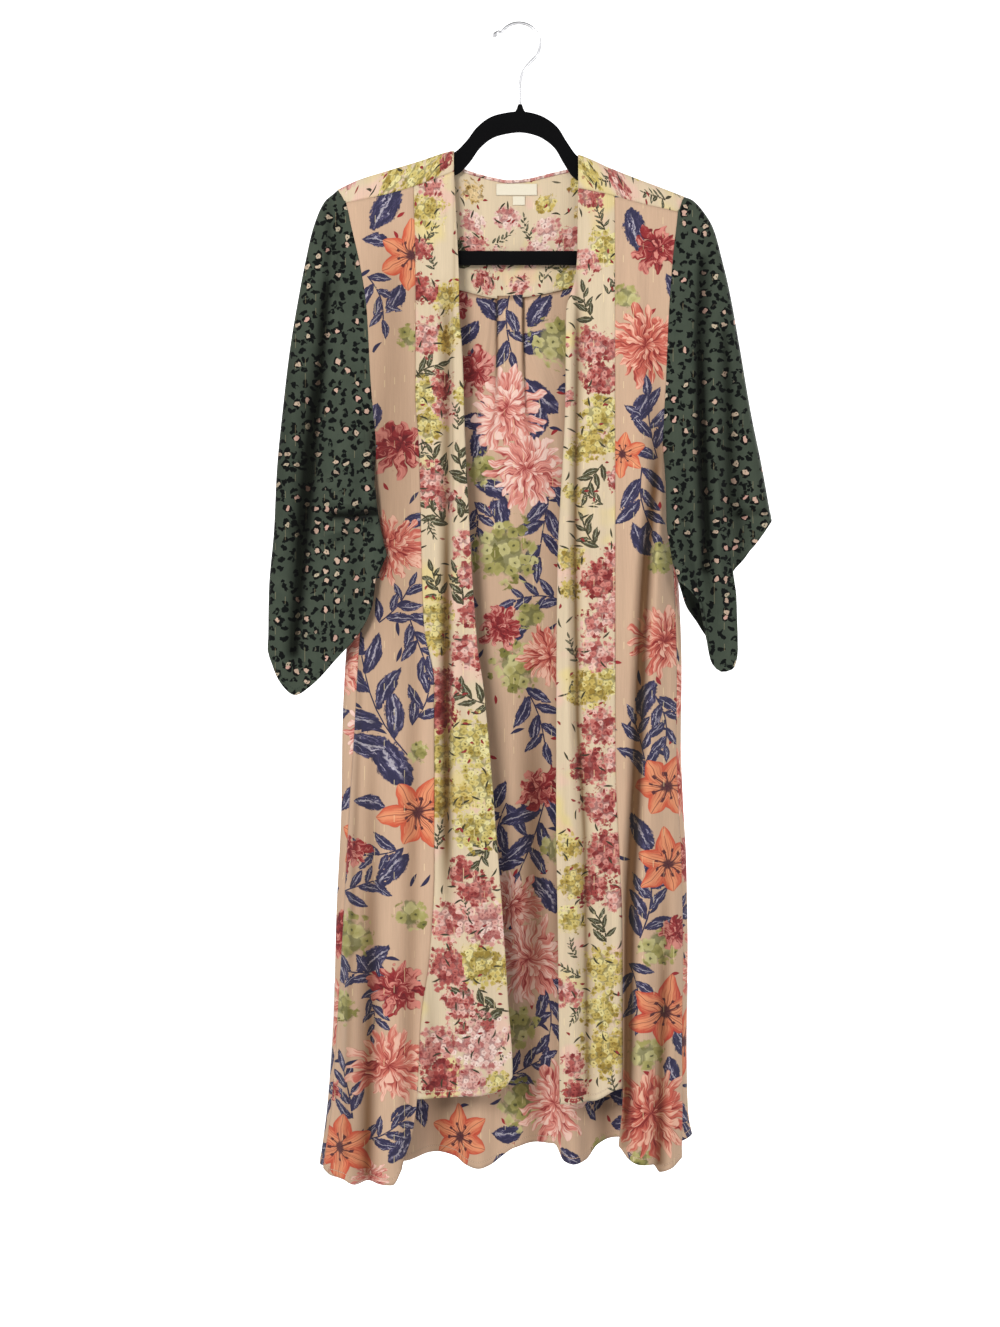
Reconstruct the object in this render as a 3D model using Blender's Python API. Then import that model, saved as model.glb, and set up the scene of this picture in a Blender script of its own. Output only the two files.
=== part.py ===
"""Long open kimono coat with wide sleeves, hanging on a slim flocked hanger.

Metres, +Z up, the front faces -Y and +X is to the viewer's right. The origin is the seat of
the hook: the inner top of its wire. Every table below is in millimetres, with these columns:
x is the distance to the right of the hook's axis, drop is the distance below the seat, and
y is the depth, less than 0 in front of the hanger and more than 0 behind it.
"""

from collections import namedtuple

import bmesh
import bpy
import numpy as np

MM = 0.001

# Cloth and seams
WALL = 1.5                 # thickness of every cloth wall
SEAM_GAP = 0.45            # space between two panels at a seam
ARM_GAP = 0.9              # the same along the armholes, where both edges curve
ROLL = 26.0                # width over which a side edge curves in from the front or back
EDGE_CALM = 16.0           # folds die out this close to an armhole or side edge
SLEEVE_CALM = 0.30         # share of the sleeve's length over which it leaves the armhole's line

# Hanger
ARM_HALF = 2.5             # half of the hanger's thickness
ARM_HIGH = 23.0            # height of its arms
ARM_SEAT = 1.9             # from the cloth's middle line down to the arm's top
BAR_TOP = 249.3
BAR_BOTTOM = 264.7
BAR_END = 190.0
ROUNDING = 1.4             # rounding of the hanger's edges
HUB_RADIUS = 4.6
HUB_TOP = 88.5
HUB_FOOT = 112.0
WIRE = 1.65                # radius of the hook's wire
BORE = 1.95                # radius of the hole that holds the stem
STEM_X = 1.2
STEM_END = 106.0
BORE_END = 107.0
LOOP_RADIUS = 23.25        # hook loop, to the middle of the wire
LOOP_DROP = 21.6
TIP_BALL = 2.7

# Where the neck opening meets the shoulder line, left and right
NECK_LEFT = -71.5
NECK_RIGHT = 64.9

# Box pleat in the middle of the back, under the yoke
PLEAT_X = -9.9
PLEAT_TAKE_UP = 26.4       # cloth hidden on each side of it
PLEAT_TOP = 300.0
PLEAT_END = 520.0
PLEAT_LAYER = 3.2          # from one layer of the pleat to the next
PLEAT_SPREAD = 1.25        # how far its cloth spreads once it has opened
BACK_LENGTH = 950.0        # the back panel at its middle, from the yoke's seam at BACK_START
BACK_START = 285.0

# Shoulder point, front seam of the yoke and seat of the sleeve: one row for each place
Arm = namedtuple("Arm", "drop x front_y back_y")
ARMHOLE = {
    "left": (Arm(182.2, -199.1, 0.0, 0.0), Arm(187.0, -196.0, -4.2, 4.2),
             Arm(197.6, -190.3, -6.2, 6.2), Arm(226.2, -183.7, -8.6, 8.6),
             Arm(270.2, -173.8, -10.0, 10.5), Arm(315.3, -167.2, -11.0, 11.5),
             Arm(391.0, -163.0, -11.5, 11.5), Arm(435.0, -159.5, -9.0, 7.0),
             Arm(462.7, -157.3, -3.0, -3.0)),
    "right": (Arm(189.9, 181.5, 0.0, 0.0), Arm(194.5, 179.0, -4.2, 4.2),
              Arm(207.5, 174.8, -6.2, 6.2), Arm(222.0, 173.0, -8.6, 8.6),
              Arm(264.7, 168.3, -10.0, 10.5), Arm(327.4, 163.9, -11.0, 11.5),
              Arm(391.0, 161.2, -11.5, 11.5), Arm(437.0, 159.0, -9.0, 7.0),
              Arm(462.7, 158.4, -3.0, -3.0)),
}

# Side seams below the underarm, and how far the back panel shows past them
Side = namedtuple("Side", "drop x y outline")
SIDE = {
    "left": (Side(462.7, -157.3, -3.0, -158.5), Side(590.0, -168.0, -5.5, -178.0),
             Side(709.0, -177.1, -8.0, -190.5), Side(783.0, -181.0, -8.5, -193.5),
             Side(856.0, -185.9, -9.0, -194.0), Side(983.0, -192.5, -10.0, -199.6),
             Side(1084.0, -198.6, -11.0, -201.6), Side(1183.0, -205.4, -12.0, -208.2),
             Side(1252.0, -214.2, -13.0, -216.8)),
    "right": (Side(462.7, 158.4, -3.0, 160.0), Side(590.0, 169.0, -5.5, 172.0),
              Side(709.0, 173.0, -8.0, 177.0), Side(787.0, 172.4, -8.5, 176.2),
              Side(853.0, 174.4, -9.0, 178.6), Side(919.0, 177.8, -9.5, 182.2),
              Side(1018.0, 179.6, -10.0, 183.8), Side(1117.0, 178.4, -11.0, 182.4),
              Side(1183.0, 178.9, -12.0, 183.9), Side(1242.0, 178.2, -13.0, 193.6)),
}

# Seam between a side front and its front band, and the band's free edge: (drop, x)
BAND_SEAM = {
    "left": ((160, -116.0), (303, -113.3), (413, -113.3), (457, -110.0), (660, -104.0),
             (724, -92.8), (924, -92.4), (1026, -97.9), (1090, -106.7), (1175, -111.0),
             (1216, -116.6), (1251, -128.0)),
    "right": ((160, 105.0), (800, 105.0), (1010, 112.8), (1173, 113.0), (1226, 108.5)),
}
FREE_EDGE = {
    "left": ((160, NECK_LEFT), (315, -63.8), (369, -60.5), (457, -58.3), (677, -46.2),
             (732, -38.5), (815, -30.8), (898, -24.2), (983, -17.6), (1069, -12.1),
             (1146, -7.2), (1180, -9.0)),
    "right": ((150, NECK_RIGHT), (248, 63.8), (280, 61.5), (318, 51.5), (413, 50.6),
              (602, 41.8), (708, 40.7), (877, 40.2), (983, 41.8), (1180, 44.0)),
}

# Upper and lower edges: (x, drop)
SHOULDER = ((-199.1, 182.2), (-176.0, 171.4), (-150.0, 163.2), (-111.0, 151.4),
            (NECK_LEFT, 139.3), (0.0, 132.0), (NECK_RIGHT, 143.7), (100.0, 158.4),
            (126.5, 169.0), (152.9, 178.9), (181.5, 189.9))
FRONT_YOKE_SEAM = {
    "left": ((-190.3, 197.6), (-150.0, 189.5), (-115.5, 179.6), (NECK_LEFT, 163.5)),
    "right": ((NECK_RIGHT, 181.5), (96.8, 188.2), (136.4, 199.0), (174.8, 207.5)),
}
BACK_YOKE_SEAM = ((-173.8, 270.2), (-120.0, 281.0), (-64.9, 290.5), (-20.9, 299.5),
                  (10.0, 297.5), (61.6, 287.0), (120.0, 276.5), (168.0, 268.0))
NECKLINE = ((NECK_LEFT, 139.3), (-71.0, 141.6), (-69.4, 148.0), (-65.0, 154.7), (-57.0, 158.8),
            (-45.0, 162.5), (-30.0, 166.5), (-11.0, 169.6), (10.0, 168.0), (29.0, 163.5),
            (45.0, 159.8), (55.0, 157.6), (60.0, 154.4), (62.8, 149.5), (64.4, 146.0),
            (NECK_RIGHT, 143.7))
SIDE_HEM = {
    "left": ((-216.7, 1252.5), (-203.5, 1261.0), (-190.3, 1261.5), (-177.1, 1269.0),
             (-163.9, 1265.7), (-150.7, 1268.0), (-137.5, 1269.0), (-127.0, 1251.4)),
    "right": ((106.7, 1226.0), (119.9, 1241.5), (133.0, 1247.5), (146.3, 1248.6),
              (152.9, 1257.0), (166.0, 1252.5), (178.2, 1242.6)),
}
BAND_HEM = {
    "left": ((-113.0, 1177.0), (-60.0, 1173.0), (-24.0, 1169.0), (-14.0, 1162.0), (-6.0, 1150.0)),
    "right": ((43.0, 1182.0), (66.0, 1180.5), (79.0, 1179.0), (107.0, 1166.0), (114.0, 1165.0)),
}
BACK_HEM = ((-214.5, 1252.0), (-170.0, 1256.0), (-124.3, 1253.6), (-97.9, 1247.0),
            (-71.5, 1250.3), (-58.3, 1259.0), (-45.0, 1262.4), (-31.9, 1259.0),
            (-18.7, 1250.3), (-5.5, 1241.5), (20.9, 1236.0), (40.0, 1236.5), (50.0, 1254.0),
            (60.5, 1257.0), (74.0, 1254.0), (87.0, 1239.0), (109.0, 1230.0), (150.0, 1226.0),
            (178.0, 1225.0), (193.6, 1219.0))

# Depth of the front panels and of the back away from their edges: (drop, y)
FRONT_DEPTH = ((150, -6.4), (200, -7.8), (300, -12.0), (460, -16.0), (700, -20.0),
               (1000, -24.0), (1280, -28.0))
BACK_DEPTH = ((160, 5.0), (270, 12.5), (460, 15.0), (700, 17.0), (1000, 20.0), (1280, 24.0))

# Folds of the body. line is where the middle of the fold runs, as (drop, x). The cloth moves
# back by push, or forward where push is less than 0, and sideways by lean. A fold starts at
# the first drop in span, is full between the next two and has died out at the last.
Fold = namedtuple("Fold", "line width push lean span")
FRONT_FOLDS = {
    "left": (
        Fold(((303, -80.5), (480, -79.5), (922, -79.0)), 11, 6.0, 0.0, (270, 330, 860, 1010)),
        Fold(((303, -67.0), (480, -66.0), (922, -66.0)), 13, -4.0, -2.5, (270, 330, 860, 1010)),
        Fold(((700, -58.0), (1170, -46.0)), 26, -7.0, 0.0, (620, 1000, 1400, 1500)),
        Fold(((300, -138.0), (700, -134.0), (1260, -146.0)), 24, -4.0, 0.0, (240, 420, 1400, 1500)),
        Fold(((760, -160.0), (1260, -166.0)), 18, 7.0, 0.0, (600, 1050, 1400, 1500)),
        Fold(((760, -178.0), (1260, -186.0)), 15, -6.0, -2.0, (640, 1100, 1400, 1500)),
        Fold(((640, -112.0), (1260, -122.0)), 14, 5.0, 0.0, (560, 900, 1400, 1500)),
    ),
    "right": (
        Fold(((476, 152.0), (592, 139.5), (687, 133.0), (825, 128.0), (983, 120.0), (1166, 118.5),
              (1216, 113.0)), 13, 9.0, 0.0, (400, 520, 1150, 1300)),
        Fold(((476, 166.0), (592, 155.0), (687, 148.5), (825, 144.0), (983, 136.0), (1166, 133.0),
              (1216, 128.0)), 16, -7.0, -2.5, (420, 560, 1150, 1330)),
        Fold(((900, 160.0), (1250, 152.0)), 15, 7.0, 0.0, (820, 1150, 1400, 1500)),
        Fold(((303, 66.0), (600, 61.5), (770, 63.5), (877, 71.5), (1173, 75.0)),
             10, 5.0, 0.0, (285, 350, 1400, 1500)),
        Fold(((303, 57.0), (602, 51.8), (770, 52.0), (877, 55.5), (1173, 59.0)),
             12, -5.0, 0.0, (285, 360, 1400, 1500)),
        Fold(((300, 86.0), (800, 84.0), (1173, 92.0)), 14, -3.0, 0.0, (240, 420, 1400, 1500)),
        Fold(((260, 128.0), (460, 130.0)), 16, -4.0, 0.0, (215, 300, 420, 540)),
    ),
}
BACK_FOLDS = (
    Fold(((420, -30.0), (1260, -45.0)), 26, -10.0, 0.0, (400, 1150, 1400, 1500)),
    Fold(((420, 8.0), (1260, 18.0)), 24, 7.0, 0.0, (400, 1150, 1400, 1500)),
    Fold(((420, 40.0), (1260, 60.0)), 21, -13.0, 0.0, (520, 1190, 1400, 1500)),
    Fold(((500, 80.0), (1260, 98.0)), 22, 8.0, 0.0, (460, 1100, 1400, 1500)),
    Fold(((500, 112.0), (1260, 140.0)), 25, -7.0, 0.0, (400, 1100, 1400, 1500)),
    Fold(((500, -70.0), (1260, -88.0)), 24, 9.0, 0.0, (420, 1100, 1400, 1500)),
    Fold(((500, -104.0), (1260, -128.0)), 24, -8.0, 0.0, (420, 1100, 1400, 1500)),
    Fold(((600, -136.0), (1260, -168.0)), 22, 9.0, 0.0, (480, 1100, 1400, 1500)),
)

# Sleeves: outer fold, underarm seam and the two hems, all as (x, drop) from top to bottom or
# from the outer corner to the inner one
SLEEVE_OUTER = {
    "left": ((-199.1, 182.2), (-205.7, 188.0), (-213.4, 195.0), (-226.6, 226.2), (-234.3, 259.2),
             (-240.9, 292.2), (-251.9, 358.2), (-259.6, 424.2), (-266.2, 490.2), (-269.5, 556.2),
             (-275.0, 622.2), (-276.1, 686.0)),
    "right": ((181.5, 189.9), (190.0, 193.0), (205.7, 209.7), (214.5, 226.2), (223.3, 259.2),
              (231.0, 292.2), (243.1, 358.2), (254.1, 424.2), (267.3, 490.2), (277.2, 546.0)),
}
UNDERARM = {
    "left": ((-157.3, 462.7), (-161.0, 490.0), (-157.3, 530.0), (-151.0, 562.0), (-144.0, 585.0)),
    "right": ((158.4, 462.7), (163.0, 490.0), (162.5, 540.0), (167.5, 592.0), (173.8, 614.0)),
}
FRONT_HEM = {
    "left": ((-276.1, 686.0), (-261.8, 722.3), (-244.2, 737.7), (-228.0, 728.0), (-198.0, 697.0),
             (-172.7, 668.4), (-159.5, 639.8), (-155.1, 609.0), (-144.0, 585.0)),
    "right": ((277.2, 546.0), (258.5, 572.7), (245.3, 587.0), (233.2, 601.3), (236.5, 633.2),
              (237.6, 688.2), (233.2, 708.0), (221.1, 712.4), (209.0, 702.0), (203.0, 668.0),
              (197.0, 640.0), (186.0, 625.0), (173.8, 614.0)),
}
BACK_HEM_OF_SLEEVE = {
    "left": ((-276.1, 686.0), (-252.0, 716.0), (-230.0, 708.0), (-198.0, 680.0), (-172.0, 650.0),
             (-157.0, 615.0), (-144.0, 585.0)),
    "right": ((277.2, 546.0), (250.0, 586.0), (232.0, 610.0), (229.0, 664.0), (220.0, 684.0),
              (207.0, 676.0), (194.0, 658.0), (182.0, 640.0), (173.8, 614.0)),
}
# Along a sleeve from armhole to hem: depth of its inner side, half its thickness at the outer
# side and at the inner side, as (share, mm)
SLEEVE_SWING = ((0.0, -3.0), (0.25, -15.0), (0.5, -24.0), (1.0, -29.5))
SLEEVE_HALF_OUTER = ((0.0, 10.0), (0.4, 12.5), (1.0, 15.0))
SLEEVE_HALF_INNER = ((0.0, 9.0), (0.3, 5.5), (1.0, 4.5))
# Places round a sleeve, closest together over the hanger's end: share from outer to inner side
SLEEVE_ROUND = (0.0, 0.006, 0.026, 0.07, 0.14, 0.23, 0.33, 0.43, 0.53, 0.63, 0.73, 0.83, 0.92, 0.975, 1.0)
OUTER_TURN = 0.07          # share of the width over which a sleeve turns at its outer fold
INNER_TURN = 0.10          # the same at the underarm seam
UNDERARM_ROOM = 1.3        # the tube turns here, so its wall stands away from the body's edge

# Folds of the sleeves' front and back layers: here line is a list of (x, drop)
Crease = namedtuple("Crease", "layer line width push")
SLEEVE_CREASES = {
    "left": (
        Crease("front", ((-198, 215), (-200, 300)), 9, 4.0),
        Crease("front", ((-211, 290), (-218, 385), (-222, 420), (-235, 560), (-241, 625), (-247, 690)),
               14, 11.0),
        Crease("front", ((-192, 330), (-196, 480), (-205, 520)), 20, -4.0),
        Crease("front", ((-222, 533), (-188, 537), (-158, 539)), 9, 7.0),
        Crease("front", ((-222, 556), (-188, 553), (-160, 547)), 11, -4.0),
        Crease("back", ((-215, 260), (-226, 420), (-240, 640)), 16, -6.0),
        Crease("back", ((-190, 330), (-200, 520)), 18, 4.0),
    ),
    "right": (
        Crease("front", ((200, 260), (196, 348), (199, 450), (201, 497), (205, 560), (203, 600)),
               12, 10.0),
        Crease("front", ((225, 340), (229, 412), (230, 540)), 11, 6.0),
        Crease("front", ((213, 380), (216, 520), (219, 640)), 13, -5.0),
        Crease("front", ((240, 540), (270, 537)), 10, 7.0),
        Crease("back", ((205, 270), (214, 420), (222, 600)), 16, -6.0),
        Crease("back", ((236, 330), (244, 520)), 15, 4.0),
    ),
}

# Labels inside the neck: left and right x, top and bottom drop
LABELS = {
    "neck_label": (-25.0, 20.0, 173.6, 186.2),
    "size_label": (-6.8, 6.6, 187.2, 197.0),
}
LABEL_THICK = 1.0
BINDING_THICK = 1.1

# Colour, roughness and metallic value of each material
MATERIALS = {
    "print_cloth": ((0.72, 0.55, 0.42), 0.75, 0.0),
    "small_print_cloth": ((0.80, 0.71, 0.56), 0.75, 0.0),
    "sleeve_cloth": ((0.09, 0.14, 0.10), 0.75, 0.0),
    "label_cloth": ((0.88, 0.84, 0.72), 0.6, 0.0),
    "black_flock": ((0.008, 0.008, 0.008), 0.9, 0.0),
    "bright_wire": ((0.75, 0.75, 0.76), 0.18, 1.0),
}


def curve(rows, at, column=1):
    """A smooth line through the rows, never past them: the value of a column at a station."""
    station = np.array([row[0] for row in rows], float)
    value = np.array([row[column] for row in rows], float)
    if station[0] > station[-1]:
        station = station[::-1]
        value = value[::-1]
    step = np.diff(station)
    slope = np.diff(value) / step
    tangent = np.zeros_like(value)
    tangent[0] = slope[0]
    tangent[-1] = slope[-1]
    same = slope[:-1] * slope[1:] > 0.0
    before = np.where(same, slope[:-1], 1.0)
    after = np.where(same, slope[1:], 1.0)
    tangent[1:-1] = np.where(same, 2.0 * before * after / (before + after), 0.0)
    at = np.clip(np.asarray(at, float), station[0], station[-1])
    i = np.clip(np.searchsorted(station, at, side="right") - 1, 0, len(step) - 1)
    t = (at - station[i]) / step[i]
    return (value[i] * (1 + 2 * t) * (1 - t) ** 2 + value[i + 1] * t * t * (3 - 2 * t)
            + step[i] * (tangent[i] * t * (1 - t) ** 2 + tangent[i + 1] * t * t * (t - 1)))


def along(rows, share):
    """A point at a share of the length of a line given as (x, drop)."""
    points = np.array(rows, float)
    length = np.concatenate(([0.0], np.cumsum(np.hypot(*np.diff(points, axis=0).T))))
    length /= length[-1]
    x = curve(list(zip(length, points[:, 0])), share)
    drop = curve(list(zip(length, points[:, 1])), share)
    return np.stack([x, drop], -1)


def smooth(value):
    """0 below 0, 1 above 1 and an even S between them."""
    value = np.clip(value, 0.0, 1.0)
    return value * value * (3.0 - 2.0 * value)


def bump(distance, width):
    """A soft ridge of height 1 that ends at the given distance."""
    reach = np.clip(np.abs(distance) / width, 0.0, 1.0)
    return np.cos(0.5 * np.pi * reach) ** 2


def side_sign(side):
    return -1.0 if side == "left" else 1.0


def edge_place(side, drop, layer):
    """x and depth of the armhole edge, and below it of the side seam."""
    depth_column = 2 if layer == "front" else 3
    arm = ARMHOLE[side]
    seam = SIDE[side]
    above = np.asarray(drop, float) < arm[-1].drop
    x = np.where(above, curve(arm, drop, 1), curve(seam, drop, 1))
    y = np.where(above, curve(arm, drop, depth_column), curve(seam, drop, 2))
    return x, y


def fold_shift(folds, x, drop):
    """How far the folds move a point back and sideways."""
    push = np.zeros_like(x)
    lean = np.zeros_like(x)
    for fold in folds:
        start, full, last, end = fold.span
        grown = smooth((drop - start) / (full - start)) * smooth((end - drop) / (end - last))
        ridge = bump(x - curve(fold.line, drop), fold.width) * grown
        push += fold.push * ridge
        lean += fold.lean * ridge
    return push, lean


def front_point(side, x, drop):
    """A point of the left or right front, with its folds."""
    edge_x, edge_y = edge_place(side, drop, "front")
    inset = np.maximum(side_sign(side) * (edge_x - x), 0.0)
    deep = curve(FRONT_DEPTH, drop)
    y = edge_y + (deep - edge_y) * np.sin(0.5 * np.pi * np.clip(inset / ROLL, 0.0, 1.0))
    push, lean = fold_shift(FRONT_FOLDS[side], x, drop)
    calm = smooth(inset / EDGE_CALM)
    return np.stack([x + lean * calm, y + push * calm, -drop], -1)


def back_depth(x, drop):
    """Depth of the back near the yoke's seam: it falls away from the armhole edges."""
    left_x, left_y = edge_place("left", drop, "back")
    right_x, right_y = edge_place("right", drop, "back")
    edge_x = np.where(x < 0.0, left_x, right_x)
    edge_y = np.where(x < 0.0, left_y, right_y)
    inset = np.maximum(np.sign(x) * (edge_x - x), 0.0)
    deep = curve(BACK_DEPTH, drop)
    return edge_y + (deep - edge_y) * np.sin(0.5 * np.pi * np.clip(inset / ROLL, 0.0, 1.0))


def normals_of(points, wrap=False):
    """Unit normals of a grid of points."""
    down = np.gradient(points, axis=0)
    if wrap:
        across = np.roll(points, -1, axis=1) - np.roll(points, 1, axis=1)
    else:
        across = np.gradient(points, axis=1)
    normal = np.cross(down, across)
    return normal / np.maximum(np.linalg.norm(normal, axis=-1, keepdims=True), 1e-9)


def upright_normals(points):
    """Unit normals square to each column of a grid, with no part along X."""
    down = np.gradient(points, axis=0)
    normal = np.stack([np.zeros_like(down[..., 0]), -down[..., 2], down[..., 1]], -1)
    return normal / np.maximum(np.linalg.norm(normal, axis=-1, keepdims=True), 1e-9)


def make_material(name):
    colour, roughness, metallic = MATERIALS[name]
    material = bpy.data.materials.get(name) or bpy.data.materials.new(name)
    material.use_nodes = True
    shader = material.node_tree.nodes["Principled BSDF"]
    shader.inputs["Base Color"].default_value = (*colour, 1.0)
    shader.inputs["Roughness"].default_value = roughness
    shader.inputs["Metallic"].default_value = metallic
    return material


def make_object(name, vertices, faces, material, smooth_angle=50.0):
    """A mesh object from points in millimetres."""
    mesh = bpy.data.meshes.new(name)
    mesh.from_pydata([tuple(v) for v in np.asarray(vertices) * MM], [], faces)
    shape = bmesh.new()
    shape.from_mesh(mesh)
    bmesh.ops.recalc_face_normals(shape, faces=shape.faces)
    shape.to_mesh(mesh)
    shape.free()
    mesh.shade_smooth()
    mesh.set_sharp_from_angle(angle=np.radians(smooth_angle))
    mesh.materials.append(make_material(material))
    thing = bpy.data.objects.new(name, mesh)
    bpy.context.scene.collection.objects.link(thing)
    return thing


def cloth(name, middle, material, wrap=False, keep=None, thick=WALL, normals=None):
    """A closed wall of cloth around a grid of middle points, or around the kept cells of it."""
    rows, columns = middle.shape[:2]
    if normals is None:
        normals = normals_of(middle, wrap)
    front = (middle + normals * (0.5 * thick)).reshape(-1, 3)
    back = (middle - normals * (0.5 * thick)).reshape(-1, 3)
    cells = columns if wrap else columns - 1
    spots = middle.reshape(-1, 3)
    triangles = []
    for r in range(rows - 1):
        for c in range(cells):
            if keep is not None and not keep[r][c]:
                continue
            right = (c + 1) % columns
            corner = (r * columns + c, r * columns + right,
                      (r + 1) * columns + right, (r + 1) * columns + c)
            one, two, three, four = corner
            if np.linalg.norm(spots[one] - spots[three]) < np.linalg.norm(spots[two] - spots[four]):
                triangles += [(one, two, three), (one, three, four)]
            else:
                triangles += [(one, two, four), (two, three, four)]
    directed = {(tri[i], tri[(i + 1) % 3]) for tri in triangles for i in range(3)}
    count = rows * columns
    faces = list(triangles)
    faces += [tuple(count + i for i in reversed(tri)) for tri in triangles]
    for a, b in sorted(directed):
        if (b, a) not in directed:
            faces.append((b, a, count + a, count + b))
    used = sorted({i for face in faces for i in face})
    place = {old: new for new, old in enumerate(used)}
    vertices = np.concatenate([front, back])[used]
    faces = [tuple(place[i] for i in face) for face in faces]
    return make_object(name, vertices, faces, material)


def fit_grid(rows, columns, left_x, right_x, top, bottom):
    """x and drop of a grid between two side edges and two end edges."""
    v = np.asarray(rows, float)[:, None]
    u = np.asarray(columns, float)[None, :]
    drop = np.zeros((v.size, u.size)) + 700.0
    for _ in range(12):
        left = left_x(drop)
        right = right_x(drop)
        x = left + (right - left) * u
        first = top(x)
        last = bottom(x)
        drop = first + (last - first) * v
    return x, drop


# Rows of the front bands, closer together beside the armholes
BAND_ROWS = np.concatenate([np.linspace(0, 0.29, 12)[:-1], np.linspace(0.29, 1, 13)])


def side_rows(side):
    """Rows of a side front: those of the band as far as they run together, then the rest."""
    seam = BAND_SEAM[side]
    top = curve(FRONT_YOKE_SEAM[side], seam[0][1])
    together = curve(BAND_HEM[side], curve(seam, 1170.0)) - top
    whole = curve(SIDE_HEM[side], seam[-2][1]) - top
    share = together / whole
    return np.concatenate([BAND_ROWS * share, [0.5 * (1.0 + share), 1.0]])


def make_side_front(side):
    """The outer front panel, from the armhole and side seam to the band's seam."""
    half = 0.5 * SEAM_GAP
    rows = side_rows(side)
    columns = np.linspace(0, 1, 14)
    sign = side_sign(side)
    x, drop = fit_grid(
        rows, columns,
        lambda d: edge_place(side, d, "front")[0] - sign * 0.5 * ARM_GAP,
        lambda d: curve(BAND_SEAM[side], d) + sign * half,
        lambda a: curve(FRONT_YOKE_SEAM[side], a) + half,
        lambda a: curve(SIDE_HEM[side], a))
    middle = front_point(side, x, drop)
    return cloth("side_front_" + side, middle, "print_cloth", normals=front_normals(side, x, drop))


def front_normals(side, x, drop):
    """Normals of the front, the same on both sides of a seam."""
    step = 1.0
    across = front_point(side, x + step, drop) - front_point(side, x - step, drop)
    down = front_point(side, x, drop + step) - front_point(side, x, drop - step)
    normal = np.cross(down, across)
    return normal / np.linalg.norm(normal, axis=-1, keepdims=True)


def make_band(side):
    """The front band, from its seam to the free edge."""
    half = 0.5 * SEAM_GAP
    columns = np.linspace(0, 1, 12)
    sign = side_sign(side)
    x, drop = fit_grid(
        BAND_ROWS, columns,
        lambda d: curve(BAND_SEAM[side], d) - sign * half,
        lambda d: curve(FREE_EDGE[side], d),
        lambda a: curve(FRONT_YOKE_SEAM[side], a) + half,
        lambda a: curve(BAND_HEM[side], a))
    middle = front_point(side, x, drop)
    return cloth("front_band_" + side, middle, "small_print_cloth",
                 normals=front_normals(side, x, drop))


# Rows of the yoke over the shoulder: depth and height under the shoulder line
WRAP = ((7.4, 22.0), (5.3, 6.5), (3.0, 1.3), (0.0, 0.0), (-3.0, 1.3), (-5.3, 6.5))
TOP_ROW = 6


def yoke_wing(side, shares):
    """Grid of the yoke beside the neck, from the back seam over the shoulder to the front."""
    neck_x = NECK_LEFT if side == "left" else NECK_RIGHT
    outer_x = ARMHOLE[side][0].x
    sign = side_sign(side)
    gap = 0.5 * SEAM_GAP
    arm_gap = sign * 0.5 * ARM_GAP
    back_end = BACK_YOKE_SEAM[0 if side == "left" else -1][0]
    front_end = FRONT_YOKE_SEAM[side][0 if side == "left" else -1][0]
    columns = []
    for share in shares:
        ridge_x = outer_x + (neck_x - outer_x) * share
        ridge = curve(SHOULDER, ridge_x)
        start_x = back_end - arm_gap
        seam_x = start_x + (neck_x - start_x) * share
        seam_drop = curve(BACK_YOKE_SEAM, seam_x) - gap
        seam = np.array([seam_x, back_depth(np.array(seam_x), np.array(seam_drop)), -seam_drop])
        column = []
        for depth, height in WRAP:
            drop = ridge + height
            edge_drop = ARMHOLE[side][0].drop + height
            edge_x = curve(ARMHOLE[side], edge_drop, 1) - arm_gap
            x = edge_x + (neck_x - edge_x) * share
            column.append(np.array([x, depth, -drop]))
        first = column[0]
        for step in (0.36, 0.70):
            drop = -(first[2] + (seam[2] - first[2]) * step)
            edge_x = curve(ARMHOLE[side], ARMHOLE[side][0].drop + drop - ridge, 1) - arm_gap
            x = edge_x + (neck_x - edge_x) * share
            y = first[1] + (seam[1] - first[1]) * step ** 0.8
            column.insert(0, np.array([x, y, -drop]))
        column.insert(0, seam)
        last_x = front_end - arm_gap
        front_x = last_x + (neck_x - last_x) * share
        front_drop = curve(FRONT_YOKE_SEAM[side], front_x) - gap
        column.append(front_point(side, np.array(front_x), np.array(front_drop)))
        columns.append(column)
    return np.array(columns)


# Rows of the yoke under the neck opening, as shares of the way up from its back seam; the
# binding covers the last stretch
NECK_ROWS = (0.0, 0.28, 0.54, 0.80, 0.93, 0.974, 1.0)
NECK_STATIONS = (-71.0, -69.4, -65.0, -57.0, -45.0, -30.0, -11.0, 10.0, 29.0, 45.0, 55.0, 60.0,
                 62.8, 64.4)
BINDING_STATIONS = NECK_STATIONS[2:-2]


def yoke_back_point(x, drop):
    """A point of the yoke behind the neck: the sheet that the neckline is cut from falls from
    the shoulder line to the back seam."""
    ridge = curve(((NECK_LEFT, 139.3), (NECK_RIGHT, 143.7)), x)
    seam = curve(BACK_YOKE_SEAM, x)
    height = drop - ridge
    fall = [(0.0, 0.0)] + [(h, y) for y, h in reversed(WRAP[:3])]
    near = curve(fall, height)
    share = np.clip((height - WRAP[0][1]) / (seam - ridge - WRAP[0][1]), 0.0, 1.0)
    y = near + (back_depth(x, seam) - WRAP[0][0]) * share ** 0.8
    return np.stack([x, y, -drop], -1)


def yoke_neck(stations):
    """Grid of the yoke under the neck opening."""
    columns = []
    for x in stations:
        neck = curve(NECKLINE, x)
        seam = curve(BACK_YOKE_SEAM, x) - 0.5 * SEAM_GAP
        column = []
        for share in NECK_ROWS:
            drop = seam + (neck - seam) * share
            column.append(yoke_back_point(np.array(x), np.array(drop)))
        columns.append(column)
    return np.array(columns)


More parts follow.
